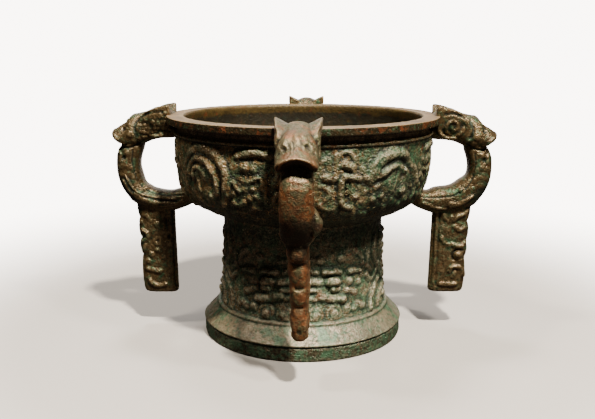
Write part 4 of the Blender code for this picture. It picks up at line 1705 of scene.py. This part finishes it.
class PatinaGroups:
    """The shader node groups that every finish shares, built once."""

    def __init__(self) -> None:
        """Builds both groups."""
        self.patches = self.build_patches()
        self.cast_skin = self.build_cast_skin()

    @staticmethod
    def group(name: str, inputs: Sequence[Tuple[str, str]],
              outputs: Sequence[Tuple[str, str]]) -> Tuple[NodeKit, Dict[str, Socket], Dict[str, Socket]]:
        """An empty shader group with named sockets.

        Args:
            name: the group's name.
            inputs: label and kind of each input.
            outputs: label and kind of each output.
        """
        tree = bpy.data.node_groups.new(name, "ShaderNodeTree")
        for label, kind in inputs:
            tree.interface.new_socket(label, in_out="INPUT", socket_type=f"NodeSocket{kind}")
        for label, kind in outputs:
            tree.interface.new_socket(label, in_out="OUTPUT", socket_type=f"NodeSocket{kind}")
        given = {inlet.name: inlet for inlet in tree.nodes.new("NodeGroupInput").outputs}
        out = {outlet.name: outlet for outlet in tree.nodes.new("NodeGroupOutput").inputs}
        return NodeKit(tree), given, out

    def build_patches(self) -> bpy.types.NodeTree:
        """Uneven patches of one size, which cover a set share of the surface.

        Returns:
            The group.
        """
        kit, given, out = self.group(
            "patches", [("Vector", "Vector"), ("Size", "Float"), ("Cover", "Float"), ("Bias", "Float"),
                        ("Shift", "Float")],
            [("Mask", "Float"), ("Noise", "Float")])
        scale = kit.math("DIVIDE", 1.0 / MM, given["Size"])
        moved = kit.node("ShaderNodeVectorMath", {"operation": "ADD"})
        kit.feed(given["Vector"], moved.inputs[0])
        kit.feed(given["Shift"], moved.inputs[1])
        noise = kit.node("ShaderNodeTexNoise", Vector=moved.outputs[0], Scale=scale, Detail=5.0, Roughness=0.62,
                         Distortion=0.35)
        level = kit.math("ADD", noise.outputs["Fac"], given["Bias"])
        edge = kit.math("SUBTRACT", 0.78, kit.math("MULTIPLY", given["Cover"], 0.52))
        kit.feed(kit.step(level, kit.math("SUBTRACT", edge, 0.06), kit.math("ADD", edge, 0.07)), out["Mask"])
        kit.feed(noise.outputs["Fac"], out["Noise"])
        return kit.tree

    def build_cast_skin(self) -> bpy.types.NodeTree:
        """Old cast bronze: dark hollows, worn crests, and green and red patches with a grainy surface, plus painted
        glints as pale specks, and painted shade and highlights where the crest value carries them.

        Returns:
            The group.
        """
        colours = [(n, "Color") for n in ("Hollow", "Body", "Second", "Worn", "Verdigris", "Rust")]
        amounts = [(n, "Float") for n in ("Crest", "Tint", "Green Cover", "Rust Cover", "Wear", "Gloss", "Matt",
                                          "Patch", "Grit")]
        kit, given, out = self.group("cast_skin", [("Vector", "Vector")] + colours + amounts,
                                     [("Color", "Color"), ("Roughness", "Float"), ("Height", "Float")])

        def patches(size: object, cover: object, bias: object, shift: float) -> bpy.types.Node:
            """One use of the patch group."""
            return kit.node("ShaderNodeGroup", {"node_tree": self.patches}, Vector=given["Vector"], Size=size,
                            Cover=cover, Bias=bias, Shift=shift)

        tone_size, grain_size, pebble_size = 14.0, 2.1, 1.9
        fine_green_size, rust_size, glint_size = 3.6, 6.0, 1.5
        half = 0.5
        crest = kit.step(given["Crest"], 0.02, 0.7)
        hollow = kit.step(kit.math("MULTIPLY", given["Crest"], -1.0), 0.02, 0.6)
        tone = patches(tone_size, half, 0.0, 3.0)
        grain = patches(grain_size, half, 0.0, 11.0)
        pebbles = kit.node("ShaderNodeTexVoronoi", {"feature": "F1"}, Vector=given["Vector"],
                           Scale=1.0 / (pebble_size * MM), Randomness=1.0)
        bead = kit.step(pebbles.outputs["Distance"], 0.62, 0.05)
        base = kit.blend(given["Tint"], given["Body"], given["Second"])
        shade = kit.math("MULTIPLY_ADD", tone.outputs["Noise"], 2.2, -0.1)
        base = kit.blend(1.0, base, shade, "MULTIPLY")
        speckle = kit.math("MULTIPLY_ADD", grain.outputs["Noise"], 2.8, -0.4)
        speckle = kit.math("MAXIMUM", speckle, 0.3)
        base = kit.blend(kit.math("MULTIPLY_ADD", given["Grit"], 0.7, 0.5), base,
                         kit.blend(1.0, base, speckle, "MULTIPLY"))
        low_bias = kit.math("MULTIPLY", hollow, 0.08)
        green = patches(given["Patch"], given["Green Cover"], low_bias, 31.0)
        fine_green = patches(fine_green_size, given["Green Cover"], low_bias, 47.0)
        cover = kit.math("MAXIMUM", green.outputs["Mask"], kit.math("MULTIPLY", fine_green.outputs["Mask"], 0.8))
        base = kit.blend(kit.math("MULTIPLY", cover, 0.85), base,
                         kit.blend(1.0, given["Verdigris"], speckle, "MULTIPLY"))
        rust = patches(rust_size, given["Rust Cover"], 0.0, 59.0)
        base = kit.blend(kit.math("MULTIPLY", rust.outputs["Mask"], 0.75), base,
                         kit.blend(1.0, given["Rust"], shade, "MULTIPLY"))
        base = kit.blend(kit.math("MULTIPLY", hollow, 0.85), base, given["Hollow"])
        # Pale specks of the worn colour where the glint noise and the tone are high: painted glints.
        glint_noise = patches(glint_size, half, 0.0, 71.0)
        painted_glints = kit.math("MULTIPLY", kit.step(glint_noise.outputs["Noise"], 0.52, 0.66),
                         kit.step(tone.outputs["Noise"], 0.44, 0.6))
        # The worn colour goes on crests as wear, and on the specks as painted glints.
        wear_and_painted_glints = kit.math("MULTIPLY", crest, kit.step(grain.outputs["Noise"], 0.36, 0.62))
        wear_and_painted_glints = kit.math("MAXIMUM", wear_and_painted_glints, kit.math("MULTIPLY", painted_glints, given["Grit"]))
        wear_and_painted_glints = kit.math("MULTIPLY", wear_and_painted_glints, given["Wear"])
        kit.feed(kit.blend(wear_and_painted_glints, base, given["Worn"]), out["Color"])
        dull = kit.math("MAXIMUM", kit.math("MULTIPLY", cover, 0.6), hollow)
        blur = kit.node("ShaderNodeMapRange", Value=dull, To_Min=given["Gloss"], To_Max=given["Matt"])
        rough = kit.math("SUBTRACT", blur.outputs[0], 0.05)
        kit.feed(kit.math("MULTIPLY_ADD", grain.outputs["Noise"], 0.25, rough), out["Roughness"])
        lumps = kit.math("MULTIPLY", bead, kit.math("MULTIPLY", given["Grit"], 0.55))
        coarse = kit.math("MULTIPLY_ADD", given["Grit"], 1.3, 0.5)
        relief = kit.math("MULTIPLY_ADD", grain.outputs["Noise"], coarse, lumps)
        kit.feed(kit.math("ADD", relief, kit.math("MULTIPLY", cover, 0.3)), out["Height"])
        return kit.tree

    def material(self, finish: Finish) -> bpy.types.Material:
        """Makes the material of one finish.

        Args:
            finish: its colours and amounts.

        Returns:
            The material.
        """
        material = bpy.data.materials.new(finish.name)
        material.use_nodes = True
        kit = NodeKit(material.node_tree)
        shader = material.node_tree.nodes["Principled BSDF"]
        place = kit.node("ShaderNodeTexCoord").outputs["Object"]
        crest = kit.node("ShaderNodeAttribute", {"attribute_name": CREST_AND_PAINTED_LIGHT}).outputs["Fac"]
        tint = kit.node("ShaderNodeAttribute", {"attribute_name": TINT}).outputs["Fac"]
        colours = {label: (*getattr(finish, label.lower()), 1.0)
                   for label in ("Hollow", "Body", "Second", "Worn", "Verdigris", "Rust")}
        skin = kit.node("ShaderNodeGroup", {"node_tree": self.cast_skin}, Vector=place, Crest=crest, Tint=tint,
                        Green_Cover=finish.green_cover, Rust_Cover=finish.rust_cover, Wear=finish.wear,
                        Gloss=finish.gloss, Matt=finish.matt, Patch=finish.patch, Grit=finish.grit, **colours)
        bump = kit.node("ShaderNodeBump", Strength=1.0, Distance=0.6 * MM, Height=skin.outputs["Height"])
        kit.feed(skin.outputs["Color"], shader.inputs["Base Color"])
        kit.feed(skin.outputs["Roughness"], shader.inputs["Roughness"])
        kit.feed(bump.outputs["Normal"], shader.inputs["Normal"])
        shader.inputs["Metallic"].default_value = finish.metallic
        shader.inputs["Specular IOR Level"].default_value = 0.65
        return material


BELLY = Finish("belly_patina", hollow=(0.010, 0.010, 0.006), body=(0.23, 0.14, 0.055),
               second=(0.10, 0.094, 0.048), worn=(0.50, 0.41, 0.265), verdigris=(0.038, 0.11, 0.052),
               rust=(0.20, 0.055, 0.02), green_cover=0.48, rust_cover=0.28, wear=0.55, gloss=0.16, matt=0.46,
               metallic=0.2)
# Paler than the belly, so that the neck in the lip's shadow shows the light and sheen that fall there: painted light.
NECK_WITH_PAINTED_LIGHT = replace(BELLY, name="neck_patina", hollow=(0.11, 0.08, 0.052), body=(0.36, 0.265, 0.17),
               second=(0.44, 0.36, 0.27), green_cover=0.2, wear=0.6)
LIP = replace(BELLY, name="lip_patina", body=(0.036, 0.026, 0.012), worn=(0.08, 0.055, 0.027), green_cover=0.3,
              rust_cover=0.4, wear=0.4, grit=0.6)
RIM = replace(BELLY, name="rim_patina", body=(0.185, 0.12, 0.055), second=(0.185, 0.12, 0.055),
              worn=(0.34, 0.25, 0.135), green_cover=0.15, rust_cover=0.3, grit=0.35, gloss=0.42)
INSIDE = replace(BELLY, name="inside_patina", body=(0.078, 0.05, 0.012), second=(0.078, 0.05, 0.012),
                 worn=(0.12, 0.08, 0.022), green_cover=0.16, rust_cover=0.3, grit=0.4, gloss=0.4)
STEM = replace(BELLY, name="stem_patina", hollow=(0.028, 0.046, 0.026), body=(0.22, 0.165, 0.09),
               second=(0.18, 0.175, 0.105), verdigris=(0.06, 0.15, 0.078), worn=(0.62, 0.53, 0.37), green_cover=0.46)
FLANGE = replace(STEM, name="flange_patina", body=(0.21, 0.17, 0.105), second=(0.20, 0.18, 0.12),
                 worn=(0.325, 0.285, 0.19), green_cover=0.42, rust_cover=0.12, patch=14.0, grit=0.25, gloss=0.26,
                 metallic=0.25)
BAND = replace(STEM, name="band_patina", body=(0.08, 0.062, 0.033), second=(0.07, 0.078, 0.045),
               worn=(0.20, 0.17, 0.11), green_cover=0.5, rust_cover=0.2)
FRONT = Finish("front_handle_patina", hollow=(0.02, 0.012, 0.006), body=(0.155, 0.13, 0.072),
               second=(0.28, 0.11, 0.042), worn=(0.40, 0.28, 0.155), verdigris=(0.10, 0.115, 0.055),
               rust=(0.24, 0.10, 0.045), green_cover=0.42, rust_cover=0.42, wear=0.45, gloss=0.26, matt=0.5,
               metallic=0.6, grit=0.35)
SIDES = replace(BELLY, name="side_handle_patina", body=(0.115, 0.076, 0.032), second=(0.10, 0.066, 0.028),
                worn=(0.29, 0.21, 0.11), green_cover=0.36, rust_cover=0.2, gloss=0.22, grit=0.5, metallic=0.55)


# ---- studio


@dataclass(frozen=True)
class Studio:
    """Pale floor, soft lights and the camera."""

    camera_place: Tuple[float, float, float] = (0.0174, -0.6235, 0.2367)
    tilt: float = 12.26
    heading: float = 2.0
    roll: float = 0.131
    lens: float = 46.12
    sensor_width: float = 36.0
    floor_radius: float = 6.0
    floor_colour: Colour = (0.66, 0.62, 0.58)
    floor_glow: Colour = (0.02, 0.012, 0.009)
    floor_fade: Point2 = (0.22, 0.62)
    target: Tuple[float, float, float] = (0.0, 0.0, 0.1)
    lamp: Colour = (1.0, 0.91, 0.78)
    surround: Point2 = (0.02, 9.0)

    def place_camera(self) -> None:
        """Sets the camera in front of the vessel, a little above the rim."""
        down, turn = math.radians(self.tilt), math.radians(self.heading)
        ahead = Vector((-math.sin(turn) * math.cos(down), math.cos(turn) * math.cos(down), -math.sin(down)))
        right = Vector((math.cos(turn), math.sin(turn), 0.0))
        frame = Matrix((right, right.cross(ahead), -ahead)).transposed().to_4x4()
        data = bpy.data.cameras.new("camera")
        data.lens = self.lens
        data.sensor_width = self.sensor_width
        camera = bpy.data.objects.new("camera", data)
        camera.matrix_world = (Matrix.Translation(self.camera_place) @ frame
                               @ Matrix.Rotation(math.radians(self.roll), 4, "Z"))
        bpy.context.scene.collection.objects.link(camera)
        bpy.context.scene.camera = camera

    def lay_floor(self) -> bpy.types.Object:
        """A wide pale floor that the vessel stands on.

        Returns:
            The floor.
        """
        bm = bmesh.new()
        bmesh.ops.create_circle(bm, cap_ends=True, radius=self.floor_radius, segments=96)
        mesh = bpy.data.meshes.new("floor")
        bm.to_mesh(mesh)
        bm.free()
        floor = bpy.data.objects.new("floor", mesh)
        bpy.context.scene.collection.objects.link(floor)
        material = bpy.data.materials.new("pale_floor")
        material.use_nodes = True
        shader = material.node_tree.nodes["Principled BSDF"]
        kit = NodeKit(material.node_tree)
        seen = kit.node("ShaderNodeLightPath").outputs["Is Camera Ray"]
        kit.feed(kit.blend(seen, self.floor_glow, self.floor_colour), shader.inputs["Base Color"])
        shader.inputs["Roughness"].default_value = 0.7
        place = kit.node("ShaderNodeTexCoord").outputs["Object"]
        away = kit.node("ShaderNodeVectorMath", {"operation": "LENGTH"}, Vector=place).outputs["Value"]
        kit.feed(kit.step(away, self.floor_fade[1], self.floor_fade[0]), shader.inputs["Alpha"])
        mesh.materials.append(material)
        return floor

    def add_light(self, name: str, place: Sequence[float], size: float, power: float, colour: Colour) -> None:
        """One soft square light that faces the vessel.

        Args:
            name: the light's name.
            place: where it is, in metres.
            size: length of its sides, in metres.
            power: its strength, in watts.
            colour: its tint.
        """
        data = bpy.data.lights.new(name, "AREA")
        data.size = size
        data.energy = power
        data.color = colour
        light = bpy.data.objects.new(name, data)
        aim = Vector(self.target) - Vector(place)
        light.matrix_world = Matrix.Translation(place) @ aim.to_track_quat("-Z", "Y").to_matrix().to_4x4()
        bpy.context.scene.collection.objects.link(light)

    def light(self) -> None:
        """A key light from the front right and above, weaker ones round the vessel, and a pale surround."""
        self.add_light("key", (0.40, -0.93, 1.72), 0.12, 84.0, self.lamp)
        self.add_light("left", (-0.90, -0.34, 1.82), 0.2, 17.0, self.lamp)
        self.add_light("right", (1.00, -0.85, 1.54), 0.15, 18.0, self.lamp)
        self.add_light("back", (-0.20, 0.55, 1.75), 0.3, 14.0, (1.0, 0.97, 0.93))
        self.add_light("wall", (0.0, 2.2, 0.7), 2.2, 22.0, (1.0, 0.93, 0.84))
        world = bpy.data.worlds.new("surround")
        world.use_nodes = True
        kit = NodeKit(world.node_tree)
        rays = kit.node("ShaderNodeLightPath").outputs["Is Camera Ray"]
        backdrop = world.node_tree.nodes["Background"]
        backdrop.inputs["Color"].default_value = (1.0, 0.93, 0.86, 1.0)
        dim, seen = self.surround
        strength = kit.node("ShaderNodeMapRange", Value=rays, To_Min=dim, To_Max=seen)
        kit.feed(strength.outputs[0], backdrop.inputs["Strength"])
        bpy.context.scene.world = world


# ---- main


def settle(piece: bpy.types.Object) -> None:
    """Ties a finished piece to the vessel, and reports it.

    Args:
        piece: the piece.
    """
    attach(piece, ROOT_BODY)
    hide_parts(VESSEL_NODE)
    piece.data.calc_loop_triangles()
    LOG.info("%s: %d triangles", piece.name, len(piece.data.loop_triangles))


def main() -> None:
    """Builds the pieces in order."""
    logging.basicConfig(level=logging.INFO, format="%(message)s")
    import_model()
    studio = Studio()
    studio.place_camera()
    studio.light()
    studio.lay_floor()
    groups = PatinaGroups()
    coat = {f.name: groups.material(f) for f in (BELLY, NECK_WITH_PAINTED_LIGHT, RIM, INSIDE, LIP, STEM, FLANGE, BAND, FRONT, SIDES)}

    bowl, foot = Bowl(), Foot()
    bowl_piece = bowl.build().as_object("bowl", [coat[f.name] for f in (BELLY, NECK_WITH_PAINTED_LIGHT, RIM, INSIDE, LIP)])
    foot_piece = foot.build().as_object("foot", [coat[f.name] for f in (STEM, FLANGE, INSIDE, BAND)])
    pieces = [bowl_piece, foot_piece]
    scrolls = ThunderScrolls()
    pieces.append(scrolls.build("belly_scrolls", bowl.seats(), coat[BELLY.name]))
    pieces.append(scrolls.build("foot_scrolls", foot.seats(), coat[STEM.name]))
    handles = [
        BeastHandle(Side.FRONT, BeastHead(Swirl.SPIRAL), Loop(), Pendant(37.2, sway=1.8, swell=3.2), spur=True,
                    side_depth=0.35, seed=1),
        BeastHandle(Side.RIGHT, BeastHead(Swirl.SPIRAL), Loop(hole_drop=-2.4), Pendant(32.0), seed=2),
        BeastHandle(Side.BACK, BeastHead(Swirl.SPIRAL), Loop(), Pendant(32.0), seed=3),
        BeastHandle(Side.LEFT, BeastHead(Swirl.BEADS, horn_stand=11.6), Loop(paired_ridges=True, hole_drop=2.0),
                    Pendant(28.5, curls=Curls.KNOBBED), seed=4),
    ]
    for handle in handles:
        coating = coat[FRONT.name if handle.side is Side.FRONT else SIDES.name]
        pieces.append(handle.build().as_object(handle.name, [coating]))
    for piece in pieces:
        settle(piece)


if __name__ == "__main__":
    main()
